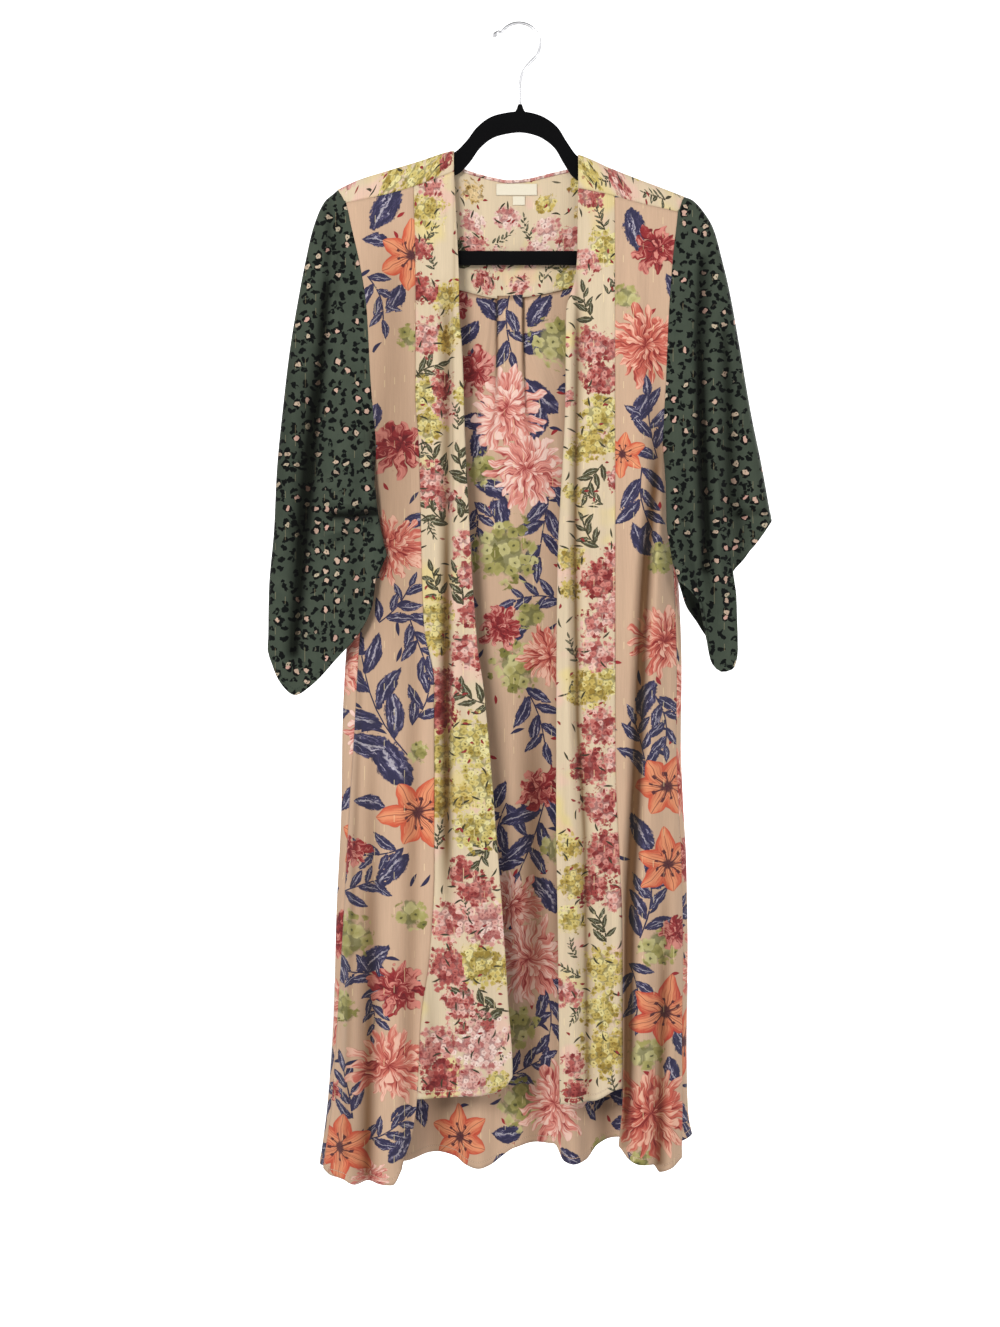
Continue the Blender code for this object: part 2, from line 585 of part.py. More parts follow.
def make_yoke():
    """The back yoke, whose wings run over the shoulders to the front seams."""
    shares = np.linspace(0, 1, 9)
    left = yoke_wing("left", shares).swapaxes(0, 1)
    right = yoke_wing("right", shares)[::-1].swapaxes(0, 1)
    neck = yoke_neck(NECK_STATIONS).swapaxes(0, 1)
    front_rows = left.shape[0] - neck.shape[0]
    blank = np.repeat(neck[-1:], front_rows, axis=0)
    grid = np.concatenate([left, np.concatenate([neck, blank]), right], axis=1)
    first = left.shape[1] - 1
    last = first + neck.shape[1] + 1
    normals = upright_normals(grid)
    normals[:TOP_ROW + 1, first + 1:last] = upright_normals(neck)
    keep = np.ones((grid.shape[0] - 1, grid.shape[1] - 1), bool)
    keep[TOP_ROW:, first:last] = False
    return cloth("back_yoke", grid, "small_print_cloth", keep=keep, normals=normals)


def pleat_columns():
    """Cloth distance from the pleat's middle, where that cloth lies when folded, and its depth
    once the three layers have opened into a slope."""
    right = ((0.0, 0.0, -1.0), (12.6, 12.6, -1.0), (14.6, 14.3, -0.5), (16.6, 12.6, 0.0),
             (26.0, 3.4, 0.0), (27.8, 1.9, 0.5), (29.8, 3.4, 1.0), (46.0, 19.6, 1.0))
    first = right[1][0]
    last = right[-2][0]
    right = [(q, x, y * PLEAT_LAYER,
              (2.0 * min(max((q - first) / (last - first), 0.0), 1.0) - 1.0) * PLEAT_LAYER)
             for q, x, y in right]
    left = [(-q, -x, y, slope) for q, x, y, slope in reversed(right[1:])]
    return left + right


def back_turn(side, row):
    """The side of the back panel at one row, from its edge inwards. Above the underarm the edge
    is the armhole. Below it the cloth turns forward round the side to meet the front."""
    sign = side_sign(side)
    end = 0 if side == "left" else -1
    first = curve(BACK_YOKE_SEAM, BACK_YOKE_SEAM[end][0])
    last = curve(BACK_HEM, BACK_HEM[end][0])
    drop = first + (last - first) * row
    under = ARMHOLE[side][-1].drop
    turned = smooth((drop - under) / 70.0)
    edge_x, edge_y = edge_place(side, drop, "back")
    deep = curve(BACK_DEPTH, drop)
    away = -0.5 * ARM_GAP if drop < under else 1.2 * ARM_GAP
    start = np.array([edge_x + sign * away, edge_y])
    finish = np.array([edge_x - sign * ROLL, deep])
    middle = 0.5 * (start + finish)
    middle[1] = edge_y + (deep - edge_y) * np.sin(0.25 * np.pi)
    outline = curve(SIDE[side], drop, 3) - sign * 0.5 * WALL
    outermost = np.array([outline, 0.35 * edge_y + 0.65 * deep - 3.0])
    middle += (outermost - middle) * turned
    control = 2.0 * middle - 0.5 * (start + finish)
    return [(1 - t) ** 2 * start + 2 * t * (1 - t) * control + t * t * finish
            for t in (0.0, 0.2, 0.4, 0.6, 0.8, 1.0)]


# Rows of the back panel, closest together where the pleat opens
BACK_ROWS = np.concatenate([np.linspace(0, 0.09, 4)[:-1], np.linspace(0.09, 0.16, 6)[:-1],
                            np.linspace(0.16, 0.22, 3)[:-1], np.linspace(0.22, 1, 13)])


def make_back_panel():
    """The back, turned forward at both sides to its seams, with the box pleat under the yoke."""
    pleat = pleat_columns()
    cloth_half = pleat[-1][0]
    folded_half = cloth_half - PLEAT_TAKE_UP
    grid = []
    for row in BACK_ROWS:
        left = back_turn("left", row)
        right = back_turn("right", row)
        x_left = left[-1][0]
        x_right = right[-1][0]
        drop = BACK_START + BACK_LENGTH * row
        folded = 1.0 - smooth((drop - PLEAT_TOP) / (PLEAT_END - PLEAT_TOP))
        half = folded_half + (PLEAT_SPREAD * cloth_half - folded_half) * (1.0 - folded)
        columns = [(x, y, False) for x, y in left[:-1]]
        for share in np.linspace(0, 1, 6)[:-1]:
            columns.append((x_left + (PLEAT_X - half - x_left) * share, 0.0, True))
        layered = smooth((folded - 0.55) / 0.25)
        for length, x_folded, y_folded, y_open in pleat:
            x = x_folded * folded + length * PLEAT_SPREAD * (1.0 - folded)
            y = (y_folded * layered + y_open * (1.0 - layered)) * min(1.0, 2.4 * folded)
            columns.append((PLEAT_X + x, y, True))
        for share in np.linspace(0, 1, 6)[1:]:
            columns.append((PLEAT_X + half + (x_right - PLEAT_X - half) * share, 0.0, True))
        columns += [(x, y, False) for x, y in reversed(right[:-1])]
        points = []
        for x, y, flat in columns:
            first = curve(BACK_YOKE_SEAM, x) + 0.5 * SEAM_GAP
            last = curve(BACK_HEM, x)
            drop = first + (last - first) * row
            if flat:
                calm = smooth(min(x - x_left, x_right - x) / 20.0)
                push, _ = fold_shift(BACK_FOLDS, np.array(x), np.array(drop))
                y += curve(BACK_DEPTH, drop) + push * calm
            points.append((x, y, -drop))
        grid.append(points)
    return cloth("back_panel", np.array(grid), "print_cloth")


def distance_to(line, x, drop):
    """Distance of points from a broken line."""
    best = np.full(x.shape, 1e9)
    for (x0, d0), (x1, d1) in zip(line[:-1], line[1:]):
        run = np.array([x1 - x0, d1 - d0], float)
        t = np.clip(((x - x0) * run[0] + (drop - d0) * run[1]) / (run @ run), 0.0, 1.0)
        best = np.minimum(best, np.hypot(x - x0 - run[0] * t, drop - d0 - run[1] * t))
    return best


def sleeve_layer(side, layer, v, t):
    """The front or back layer of a sleeve: v runs from armhole to hem, t from the outer fold
    to the underarm seam."""
    arm = ARMHOLE[side]
    sign = side_sign(side)
    rows = [(row.x, row.drop) for row in arm]
    arm_point = along(rows, t)
    arm_y = curve(arm, arm_point[:, 1], 2 if layer == "front" else 3)
    hem = along(FRONT_HEM[side] if layer == "front" else BACK_HEM_OF_SLEEVE[side], t)
    outer = along(SLEEVE_OUTER[side], v)
    inner = along(UNDERARM[side], v)
    v2 = v[:, None, None]
    t2 = t[None, :, None]
    ruled_ends = (1 - v2) * arm_point[None] + v2 * hem[None]
    ruled_sides = (1 - t2) * outer[:, None] + t2 * inner[:, None]
    corners = ((1 - v2) * (1 - t2) * arm_point[0] + (1 - v2) * t2 * arm_point[-1]
               + v2 * (1 - t2) * hem[0] + v2 * t2 * hem[-1])
    place = ruled_ends + ruled_sides - corners
    away = 0.5 * ARM_GAP + UNDERARM_ROOM * smooth((t - 0.80) / 0.18)[None, :]
    x = place[..., 0] + sign * away * (1.0 - v[:, None]) ** 4
    drop = place[..., 1]
    turn = smooth(t)[None, :]
    swing = curve(SLEEVE_SWING, v)[:, None] * turn
    outer_half = curve(SLEEVE_HALF_OUTER, v)[:, None]
    inner_half = curve(SLEEVE_HALF_INNER, v)[:, None]
    round_off = (np.sqrt(1.0 - (1.0 - np.clip(t / OUTER_TURN, 0, 1)) ** 2)
                 * np.sqrt(1.0 - (1.0 - np.clip((1.0 - t) / INNER_TURN, 0, 1)) ** 2))
    half = (outer_half + (inner_half - outer_half) * turn) * round_off[None, :]
    way = -1.0 if layer == "front" else 1.0
    free_y = swing + way * half
    leave = smooth(v / SLEEVE_CALM)[:, None]
    y = arm_y[None, :] * (1 - leave) + free_y * leave
    calm = leave * smooth(np.sin(np.pi * np.clip(t, 0, 1)) / 0.45)[None, :]
    for crease in SLEEVE_CREASES[side]:
        if crease.layer == layer:
            y = y + crease.push * calm * bump(distance_to(crease.line, x, drop), crease.width)
    return np.stack([x, y, -drop], -1)


def make_sleeve(side):
    """One wide sleeve: an open tube from the armhole to its hem."""
    v = np.linspace(0, 1, 17)
    t = np.array(SLEEVE_ROUND)
    front = sleeve_layer(side, "front", v, t)
    back = sleeve_layer(side, "back", v, t)
    ring = np.concatenate([front, back[:, -2:0:-1]], axis=1)
    return cloth("sleeve_" + side, ring, "sleeve_cloth", wrap=True)


def on_yoke(name, x, drop, material, lift, thick):
    """A flat piece that lies on the inside of the yoke."""
    middle = yoke_back_point(x, drop)
    normals = normals_of(middle)
    normals *= -np.sign(normals[..., 1:2])
    return cloth(name, middle + normals * lift, material, thick=thick, normals=normals)


def make_labels():
    """The neck label and the size label under it, both blank."""
    lift = 0.5 * WALL + SEAM_GAP + 0.5 * LABEL_THICK
    for name, (left, right, top, bottom) in LABELS.items():
        x, drop = np.meshgrid(np.linspace(left, right, 7), np.linspace(top, bottom, 3))
        on_yoke(name, x, drop, "label_cloth", lift, LABEL_THICK)


def make_binding():
    """The narrow binding along the back neckline, over the yoke's top rows."""
    rows = yoke_neck(BINDING_STATIONS).swapaxes(0, 1)
    lift = 0.5 * WALL + SEAM_GAP + 0.5 * BINDING_THICK
    normals = upright_normals(rows)
    normals *= -np.sign(normals[..., 1:2])
    rows = rows + normals * lift
    return cloth("neck_binding", rows[-2:], "small_print_cloth", thick=BINDING_THICK,
                 normals=normals[-2:])


def hanger_outline():
    """Outer and inner outlines of the hanger, as pairs of (x, drop)."""
    left = [(x, curve(SHOULDER, x) + ARM_SEAT) for x in np.linspace(NECK_LEFT, -192.0, 8)]
    right = [(x, curve(SHOULDER, x) + ARM_SEAT) for x in np.linspace(NECK_RIGHT, 174.0, 8)]
    neck_left = [(-8.0, 96.4), (-30.0, 101.5), (-46.0, 113.0), (-58.0, 128.5)]
    neck_right = [(8.0, 96.4), (26.0, 101.5), (42.0, 113.0), (53.0, 130.0)]
    tip_left = [(-201.0, 191.5), (-205.5, 203.0), (-206.0, 225.0), (-202.0, 248.0)]
    tip_right = [(184.5, 197.5), (192.5, 207.0), (197.5, 226.0), (197.0, 248.0)]
    ends_left = [(-197.0, 260.0), (-BAR_END, BAR_BOTTOM)]
    ends_right = [(196.0, 260.0), (BAR_END, BAR_BOTTOM)]
    bar = np.linspace(-BAR_END + 45.0, BAR_END - 45.0, 7)
    outer = neck_left + left + tip_left + ends_left + [(x, BAR_BOTTOM) for x in bar]
    outer += (neck_right + right + tip_right + ends_right)[::-1]
    inner = []
    for x, drop in neck_left + left:
        inner.append((max(x * 0.93, -190.0), drop + ARM_HIGH))
    inner += [(-191.0, 214.0), (-194.0, 222.0), (-193.0, 234.0), (-189.0, 244.0)]
    inner += [(-184.0, 248.0), (-176.0, BAR_TOP)]
    inner += [(x, BAR_TOP) for x in bar]
    mirrored = []
    for x, drop in neck_right + right:
        mirrored.append((min(x * 0.93, 178.0), drop + ARM_HIGH))
    mirrored += [(181.0, 218.0), (186.0, 226.0), (187.0, 236.0), (184.0, 245.0)]
    mirrored += [(179.0, 248.4), (172.0, BAR_TOP)]
    inner += mirrored[::-1]
    return outer, inner


def make_hanger_body():
    """Flat hanger in one piece: arms, bar and hub, with a hole for the stem of the hook."""
    outer, inner = hanger_outline()
    profile = ((0, -ARM_HALF + ROUNDING, 0.0), (0, ARM_HALF - ROUNDING, 0.0),
               (0, ARM_HALF, ROUNDING), (1, ARM_HALF, ROUNDING),
               (1, ARM_HALF - ROUNDING, 0.0), (1, -ARM_HALF + ROUNDING, 0.0),
               (1, -ARM_HALF, ROUNDING), (0, -ARM_HALF, ROUNDING))
    vertices = []
    for out, back in zip(outer, inner):
        out = np.array(out)
        back = np.array(back)
        run = (back - out) / np.linalg.norm(back - out)
        for end, depth, inset in profile:
            spot = (back - run * inset) if end else (out + run * inset)
            vertices.append((spot[0], depth, -spot[1]))
    count = len(outer)
    size = len(profile)
    faces = []
    for i in range(count):
        for j in range(size):
            nxt = (i + 1) % count
            faces.append((i * size + j, i * size + (j + 1) % size,
                          nxt * size + (j + 1) % size, nxt * size + j))
    body = make_object("hanger_body", vertices, faces, "black_flock", 40.0)
    hub = sweep("hub", [(STEM_X, HUB_TOP), (STEM_X, HUB_TOP + 1.5), (STEM_X, 96.0), (STEM_X, HUB_FOOT)],
                [HUB_RADIUS * 0.66, HUB_RADIUS * 0.78, HUB_RADIUS, HUB_RADIUS], 16, "black_flock")
    bore = sweep("bore", [(STEM_X, HUB_TOP - 5.0), (STEM_X, BORE_END)], [BORE, BORE], 16,
                 "black_flock")
    for tool, operation in ((hub, "UNION"), (bore, "DIFFERENCE")):
        tool.hide_render = True
        tool.display_type = "WIRE"
        cut = body.modifiers.new(tool.name, "BOOLEAN")
        cut.object = tool
        cut.operation = operation
        cut.solver = "EXACT"


def sweep(name, line, radii, sides, material):
    """A round bar along a line in the hanger's plane, with flat ends."""
    points = np.array([(x, 0.0, -drop) for x, drop in line], float)
    tangent = np.gradient(points, axis=0)
    tangent /= np.linalg.norm(tangent, axis=-1, keepdims=True)
    across = np.stack([tangent[:, 2], np.zeros(len(points)), -tangent[:, 0]], -1)
    vertices = []
    for point, side, radius in zip(points, across, radii):
        for k in range(sides):
            turn = 2 * np.pi * (k + 0.5) / sides
            vertices.append(point + radius * (np.cos(turn) * side + np.sin(turn) * np.array([0, 1, 0])))
    faces = []
    for i in range(len(points) - 1):
        for k in range(sides):
            nxt = (k + 1) % sides
            faces.append((i * sides + k, i * sides + nxt, (i + 1) * sides + nxt, (i + 1) * sides + k))
    faces.append(tuple(range(sides)))
    faces.append(tuple((len(points) - 1) * sides + k for k in range(sides)))
    return make_object(name, vertices, faces, material)


def make_hook():
    """The wire hook: ball tip, open loop, and a straight stem into the hub."""
    line = [(-27.6, 14.2), (-27.2, 13.3), (-26.4, 11.8), (-25.4, 10.3), (-24.6, 9.4), (-22.6, 8.2)]
    radii = [1.0, 2.1, TIP_BALL, 2.5, 1.9, WIRE]
    for degrees in np.linspace(146, -38, 20):
        turn = np.radians(degrees)
        line.append((LOOP_RADIUS * np.cos(turn), LOOP_DROP - LOOP_RADIUS * np.sin(turn)))
        radii.append(WIRE)
    for x, drop in ((13.2, 40.9), (8.2, 46.4), (4.2, 52.4), (2.0, 59.0), (STEM_X, 66.0),
                    (STEM_X, 80.0), (STEM_X, STEM_END)):
        line.append((x, drop))
        radii.append(WIRE)
    return sweep("hanger_hook", line, radii, 10, "bright_wire")


def main():
    for thing in list(bpy.data.objects):
        bpy.data.objects.remove(thing, do_unlink=True)
    make_yoke()
    make_back_panel()
    for side in ("left", "right"):
        make_side_front(side)
        make_band(side)
        make_sleeve(side)
    make_binding()
    make_labels()
    make_hanger_body()
    make_hook()


main()
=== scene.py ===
"""Looks of the long open kimono coat on its hanger: cloth shells, prints, hanger and light.

The coat's tables and functions are those of its solids, in millimetres: x is the distance to
the right of the hook's axis, drop is the distance below the hook's seat and y is the depth,
less than 0 in front. Print places are in millimetres of flat cloth. Nodes work in metres.
"""

import math
from collections import namedtuple

import bmesh
import bpy
import numpy as np
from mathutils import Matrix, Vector


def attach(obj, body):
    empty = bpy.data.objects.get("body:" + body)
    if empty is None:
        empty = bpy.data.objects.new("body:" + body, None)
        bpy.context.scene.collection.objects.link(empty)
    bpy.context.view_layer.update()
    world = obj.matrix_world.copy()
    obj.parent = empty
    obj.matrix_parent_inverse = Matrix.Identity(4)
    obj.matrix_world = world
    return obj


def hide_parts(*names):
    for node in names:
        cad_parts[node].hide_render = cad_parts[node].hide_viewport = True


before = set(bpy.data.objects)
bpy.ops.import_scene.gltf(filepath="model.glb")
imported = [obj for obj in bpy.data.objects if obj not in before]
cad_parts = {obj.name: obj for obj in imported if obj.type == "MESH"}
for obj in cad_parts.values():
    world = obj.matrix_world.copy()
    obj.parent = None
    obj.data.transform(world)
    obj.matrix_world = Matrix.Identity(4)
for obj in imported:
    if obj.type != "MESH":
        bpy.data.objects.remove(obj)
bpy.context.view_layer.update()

MM = 0.001
TAU = 2.0 * math.pi

# Cloth and seams
WALL = 1.5                 # thickness of the walls of the solids
THIN = 0.7                 # thickness of the cloth here
HEM_WIDE = 8.0             # width of a turned hem
HEM_THICK = 1.5            # its thickness
HEM_STEP = 1.5             # width over which it steps down to the thickness of single cloth
FREE_HEM_LESS = 4.0        # the turning of a band's free edge is this much narrower
SEAM_TUCK = 0.9            # how far cloth sinks in at a seam
SEAM_REACH = 3.0           # and over what width
SEAM_CLOSED = 0.03         # half of what stays open between two panels that are sewn together
SEAM_LAP = 3.0             # how far the back panel runs up behind the yoke
LAP_DEPTH = 1.3            # and how far behind it
DEEPEST = 7.0              # a fold pushed in this far is shaded in full
PLEAT_EDGE = 14.3          # the pleat's edges from its middle
PRINT_SEAM = 30.0          # a face whose corners are further apart in the print lies on a seam

# Camera and studio, in metres
CAMERA_DISTANCE = 2.2
VIEW_HEIGHT = 1.4597       # height of the photograph's frame at the garment
VIEW_X = -0.0209
VIEW_Z = -0.703
FLOOR_Z = -1.48
WALL_RADIUS = 3.6
WALL_HEIGHT = 5.0
WALL_SIDES = 64
FLOOR_TURN = 0.9
WORLD_LIGHT = 0.42
WHITE = (1.0, 1.0, 1.0, 1.0)
# Area lights: place, aim, width and power
LIGHTS = {
    "key": ((-1.15, -2.8, 0.2), (0.0, 0.0, -0.75), 0.9, 60),
    "fill": ((1.9, -2.3, -0.6), (0.0, 0.0, -0.8), 1.2, 15),
    "back": ((2.0, 1.9, 0.2), (0.0, 0.0, -0.7), 0.9, 58),
}

# Fineness of the grids: rows and columns of points
FRONT_ROWS = 330
FRONT_COLUMNS = 44
BAND_COLUMNS = 40
YOKE_WING_COLUMNS = 48
YOKE_NECK_COLUMNS = 52
YOKE_ROW_PARTS = 6
BACK_ROWS = 260
BACK_SIDE_COLUMNS = 42
TURN_COLUMNS = 14
PLEAT_COLUMNS = 44
SLEEVE_ROWS = 190
SLEEVE_COLUMNS = 62
LABEL_COLUMNS = 40
LABEL_ROWS = 16
BINDING_COLUMNS = 90
BINDING_PARTS = 8
FIT_START = 700.0          # first guess of a drop when a grid is fitted between its edges
FIT_ROUNDS = 12
SEAM_GAP = 0.45            # space between two panels at a seam
ARM_GAP = -0.6             # the same along the armholes: here the edges overlap a little
ROLL = 26.0                # width over which a side edge curves in from the front or back
EDGE_CALM = 16.0           # folds die out this close to an armhole or side edge
BACK_CALM = 20.0           # the same on the back
ARM_CALM = 12.0            # crinkles die out this close to the armhole or side edge of a front
CRINKLE_CALM = 30.0        # the same on the back and the sleeves
SLEEVE_CALM = 0.30         # share of the sleeve's length over which it leaves the armhole's line

# Where the neck opening meets the shoulder line, left and right
NECK_LEFT = -71.5
NECK_RIGHT = 64.9

# Box pleat in the middle of the back, under the yoke
PLEAT_X = -9.9
PLEAT_TAKE_UP = 26.4       # cloth hidden on each side of it
PLEAT_TOP = 300.0
PLEAT_END = 520.0
PLEAT_LAYER = 3.2          # from one layer of the pleat to the next
PLEAT_SPREAD = 1.25        # how far its cloth spreads once it has opened
PLEAT_LIFTS = 0.55         # its layers start to part when so much of it is still folded
PLEAT_LIFT_SPAN = 0.25     # and lie apart in full after this much more
PLEAT_FLATTENS = 2.4       # how soon the opened pleat lies level with the back
PLEAT_DARK_TOP = 330.0     # its edges get painted shade down to here
PLEAT_DARK_FADE = 120.0    # and fade over this length
BACK_LENGTH = 950.0        # the back panel at its middle, from the yoke's seam at BACK_START
BACK_START = 285.0

# Shoulder point, front seam of the yoke and seat of the sleeve: one row for each place
Arm = namedtuple("Arm", "drop x front_y back_y")
ARMHOLE = {
    "left": (Arm(182.2, -199.1, 0.0, 0.0), Arm(187.0, -196.0, -4.2, 4.2),
             Arm(197.6, -190.3, -6.2, 6.2), Arm(226.2, -183.7, -8.6, 8.6),
             Arm(270.2, -173.8, -10.0, 10.5), Arm(315.3, -167.2, -11.0, 11.5),
             Arm(391.0, -163.0, -11.5, 11.5), Arm(435.0, -159.5, -9.0, 7.0),
             Arm(462.7, -157.3, -3.0, -3.0)),
    "right": (Arm(189.9, 181.5, 0.0, 0.0), Arm(194.5, 179.0, -4.2, 4.2),
              Arm(207.5, 174.8, -6.2, 6.2), Arm(222.0, 173.0, -8.6, 8.6),
              Arm(264.7, 168.3, -10.0, 10.5), Arm(327.4, 163.9, -11.0, 11.5),
              Arm(391.0, 161.2, -11.5, 11.5), Arm(437.0, 159.0, -9.0, 7.0),
              Arm(462.7, 158.4, -3.0, -3.0)),
}

# Side seams below the underarm, and how far the back panel shows past them
Side = namedtuple("Side", "drop x y outline")
SIDE = {
    "left": (Side(462.7, -157.3, -3.0, -158.5), Side(590.0, -168.0, -5.5, -178.0),
             Side(709.0, -177.1, -8.0, -190.5), Side(783.0, -181.0, -8.5, -193.5),
             Side(856.0, -185.9, -9.0, -194.0), Side(983.0, -192.5, -10.0, -199.6),
             Side(1084.0, -198.6, -11.0, -201.6), Side(1183.0, -205.4, -12.0, -208.2),
             Side(1252.0, -214.2, -13.0, -216.8)),
    "right": (Side(462.7, 158.4, -3.0, 160.0), Side(590.0, 169.0, -5.5, 172.0),
              Side(709.0, 173.0, -8.0, 177.0), Side(787.0, 172.4, -8.5, 176.2),
              Side(853.0, 174.4, -9.0, 178.6), Side(919.0, 177.8, -9.5, 182.2),
              Side(1018.0, 179.6, -10.0, 183.8), Side(1117.0, 178.4, -11.0, 182.4),
              Side(1183.0, 178.9, -12.0, 183.9), Side(1242.0, 178.2, -13.0, 193.6)),
}

# Seam between a side front and its front band, and the band's free edge: (drop, x)
BAND_SEAM = {
    "left": ((160, -116.0), (303, -113.3), (413, -113.3), (457, -110.0), (660, -104.0),
             (724, -92.8), (924, -92.4), (1026, -97.9), (1090, -106.7), (1175, -111.0),
             (1216, -116.6), (1251, -128.0)),
    "right": ((160, 105.0), (800, 105.0), (1010, 112.8), (1173, 113.0), (1226, 108.5)),
}
FREE_EDGE = {
    "left": ((160, NECK_LEFT), (315, -63.8), (369, -60.5), (457, -58.3), (677, -46.2),
             (732, -38.5), (815, -30.8), (898, -24.2), (983, -17.6), (1069, -12.1),
             (1146, -7.2), (1180, -9.0)),
    "right": ((150, NECK_RIGHT), (248, 63.8), (280, 61.5), (318, 51.5), (413, 50.6),
              (602, 41.8), (708, 40.7), (877, 40.2), (983, 41.8), (1180, 44.0)),
}

# Upper and lower edges: (x, drop)
SHOULDER = ((-199.1, 182.2), (-176.0, 171.4), (-150.0, 163.2), (-111.0, 151.4),
            (NECK_LEFT, 139.3), (0.0, 132.0), (NECK_RIGHT, 143.7), (100.0, 158.4),
            (126.5, 169.0), (152.9, 178.9), (181.5, 189.9))
FRONT_YOKE_SEAM = {
    "left": ((-190.3, 197.6), (-150.0, 189.5), (-115.5, 179.6), (NECK_LEFT, 163.5)),
    "right": ((NECK_RIGHT, 181.5), (96.8, 188.2), (136.4, 199.0), (174.8, 207.5)),
}
BACK_YOKE_SEAM = ((-173.8, 270.2), (-120.0, 281.0), (-64.9, 290.5), (-20.9, 299.5),
                  (10.0, 297.5), (61.6, 287.0), (120.0, 276.5), (168.0, 268.0))
NECKLINE = ((NECK_LEFT, 139.3), (-71.0, 141.6), (-69.4, 148.0), (-65.0, 154.7), (-57.0, 158.8),
            (-45.0, 162.5), (-30.0, 166.5), (-11.0, 169.6), (10.0, 168.0), (29.0, 163.5),
            (45.0, 159.8), (55.0, 157.6), (60.0, 154.4), (62.8, 149.5), (64.4, 146.0),
            (NECK_RIGHT, 143.7))
SIDE_HEM = {
    "left": ((-216.7, 1252.5), (-203.5, 1261.0), (-190.3, 1261.5), (-177.1, 1269.0),
             (-163.9, 1265.7), (-150.7, 1268.0), (-137.5, 1269.0), (-127.0, 1251.4)),
    "right": ((106.7, 1226.0), (119.9, 1241.5), (133.0, 1247.5), (146.3, 1248.6),
              (152.9, 1257.0), (166.0, 1252.5), (178.2, 1242.6)),
}
BAND_HEM = {
    "left": ((-113.0, 1177.0), (-60.0, 1173.0), (-24.0, 1169.0), (-14.0, 1162.0), (-6.0, 1150.0)),
    "right": ((43.0, 1182.0), (66.0, 1180.5), (79.0, 1179.0), (107.0, 1166.0), (114.0, 1165.0)),
}
BACK_HEM = ((-214.5, 1252.0), (-170.0, 1256.0), (-124.3, 1253.6), (-97.9, 1247.0),
            (-71.5, 1250.3), (-58.3, 1259.0), (-45.0, 1262.4), (-31.9, 1259.0),
            (-18.7, 1250.3), (-5.5, 1241.5), (20.9, 1236.0), (40.0, 1236.5), (50.0, 1254.0),
            (60.5, 1257.0), (74.0, 1254.0), (87.0, 1239.0), (109.0, 1230.0), (150.0, 1226.0),
            (178.0, 1225.0), (193.6, 1219.0))

# Depth of the front panels and of the back away from their edges: (drop, y)
FRONT_DEPTH = ((150, -6.4), (200, -7.8), (300, -12.0), (460, -16.0), (700, -20.0),
               (1000, -24.0), (1280, -28.0))
BACK_DEPTH = ((160, 5.0), (270, 12.5), (460, 15.0), (700, 17.0), (1000, 20.0), (1280, 24.0))

# Folds of the body. line is where the middle of the fold runs, as (drop, x). The cloth moves
# back by push, or forward where push is less than 0, and sideways by lean. A fold starts at
# the first drop in span, is full between the next two and has died out at the last.
Fold = namedtuple("Fold", "line width push lean span")
FRONT_FOLDS = {
    "left": (
        Fold(((303, -80.5), (480, -79.5), (922, -79.0)), 11, 6.0, 0.0, (270, 330, 860, 1010)),
        Fold(((303, -67.0), (480, -66.0), (922, -66.0)), 13, -4.0, -2.5, (270, 330, 860, 1010)),
        Fold(((700, -58.0), (1170, -46.0)), 26, -7.0, 0.0, (620, 1000, 1400, 1500)),
        Fold(((300, -138.0), (700, -134.0), (1260, -146.0)), 24, -4.0, 0.0, (240, 420, 1400, 1500)),
        Fold(((760, -160.0), (1260, -166.0)), 18, 7.0, 0.0, (600, 1050, 1400, 1500)),
        Fold(((760, -178.0), (1260, -186.0)), 15, -6.0, -2.0, (640, 1100, 1400, 1500)),
        Fold(((640, -112.0), (1260, -122.0)), 14, 5.0, 0.0, (560, 900, 1400, 1500)),
    ),
    "right": (
        Fold(((476, 152.0), (592, 139.5), (687, 133.0), (825, 128.0), (983, 120.0), (1166, 118.5),
              (1216, 113.0)), 13, 9.0, 0.0, (400, 520, 1150, 1300)),
        Fold(((476, 166.0), (592, 155.0), (687, 148.5), (825, 144.0), (983, 136.0), (1166, 133.0),
              (1216, 128.0)), 16, -7.0, -2.5, (420, 560, 1150, 1330)),
        Fold(((900, 160.0), (1250, 152.0)), 15, 7.0, 0.0, (820, 1150, 1400, 1500)),
        Fold(((303, 66.0), (600, 61.5), (770, 63.5), (877, 71.5), (1173, 75.0)),
             10, 5.0, 0.0, (285, 350, 1400, 1500)),
        Fold(((303, 57.0), (602, 51.8), (770, 52.0), (877, 55.5), (1173, 59.0)),
             12, -5.0, 0.0, (285, 360, 1400, 1500)),
        Fold(((300, 86.0), (800, 84.0), (1173, 92.0)), 14, -3.0, 0.0, (240, 420, 1400, 1500)),
        Fold(((260, 128.0), (460, 130.0)), 16, -4.0, 0.0, (215, 300, 420, 540)),
    ),
}
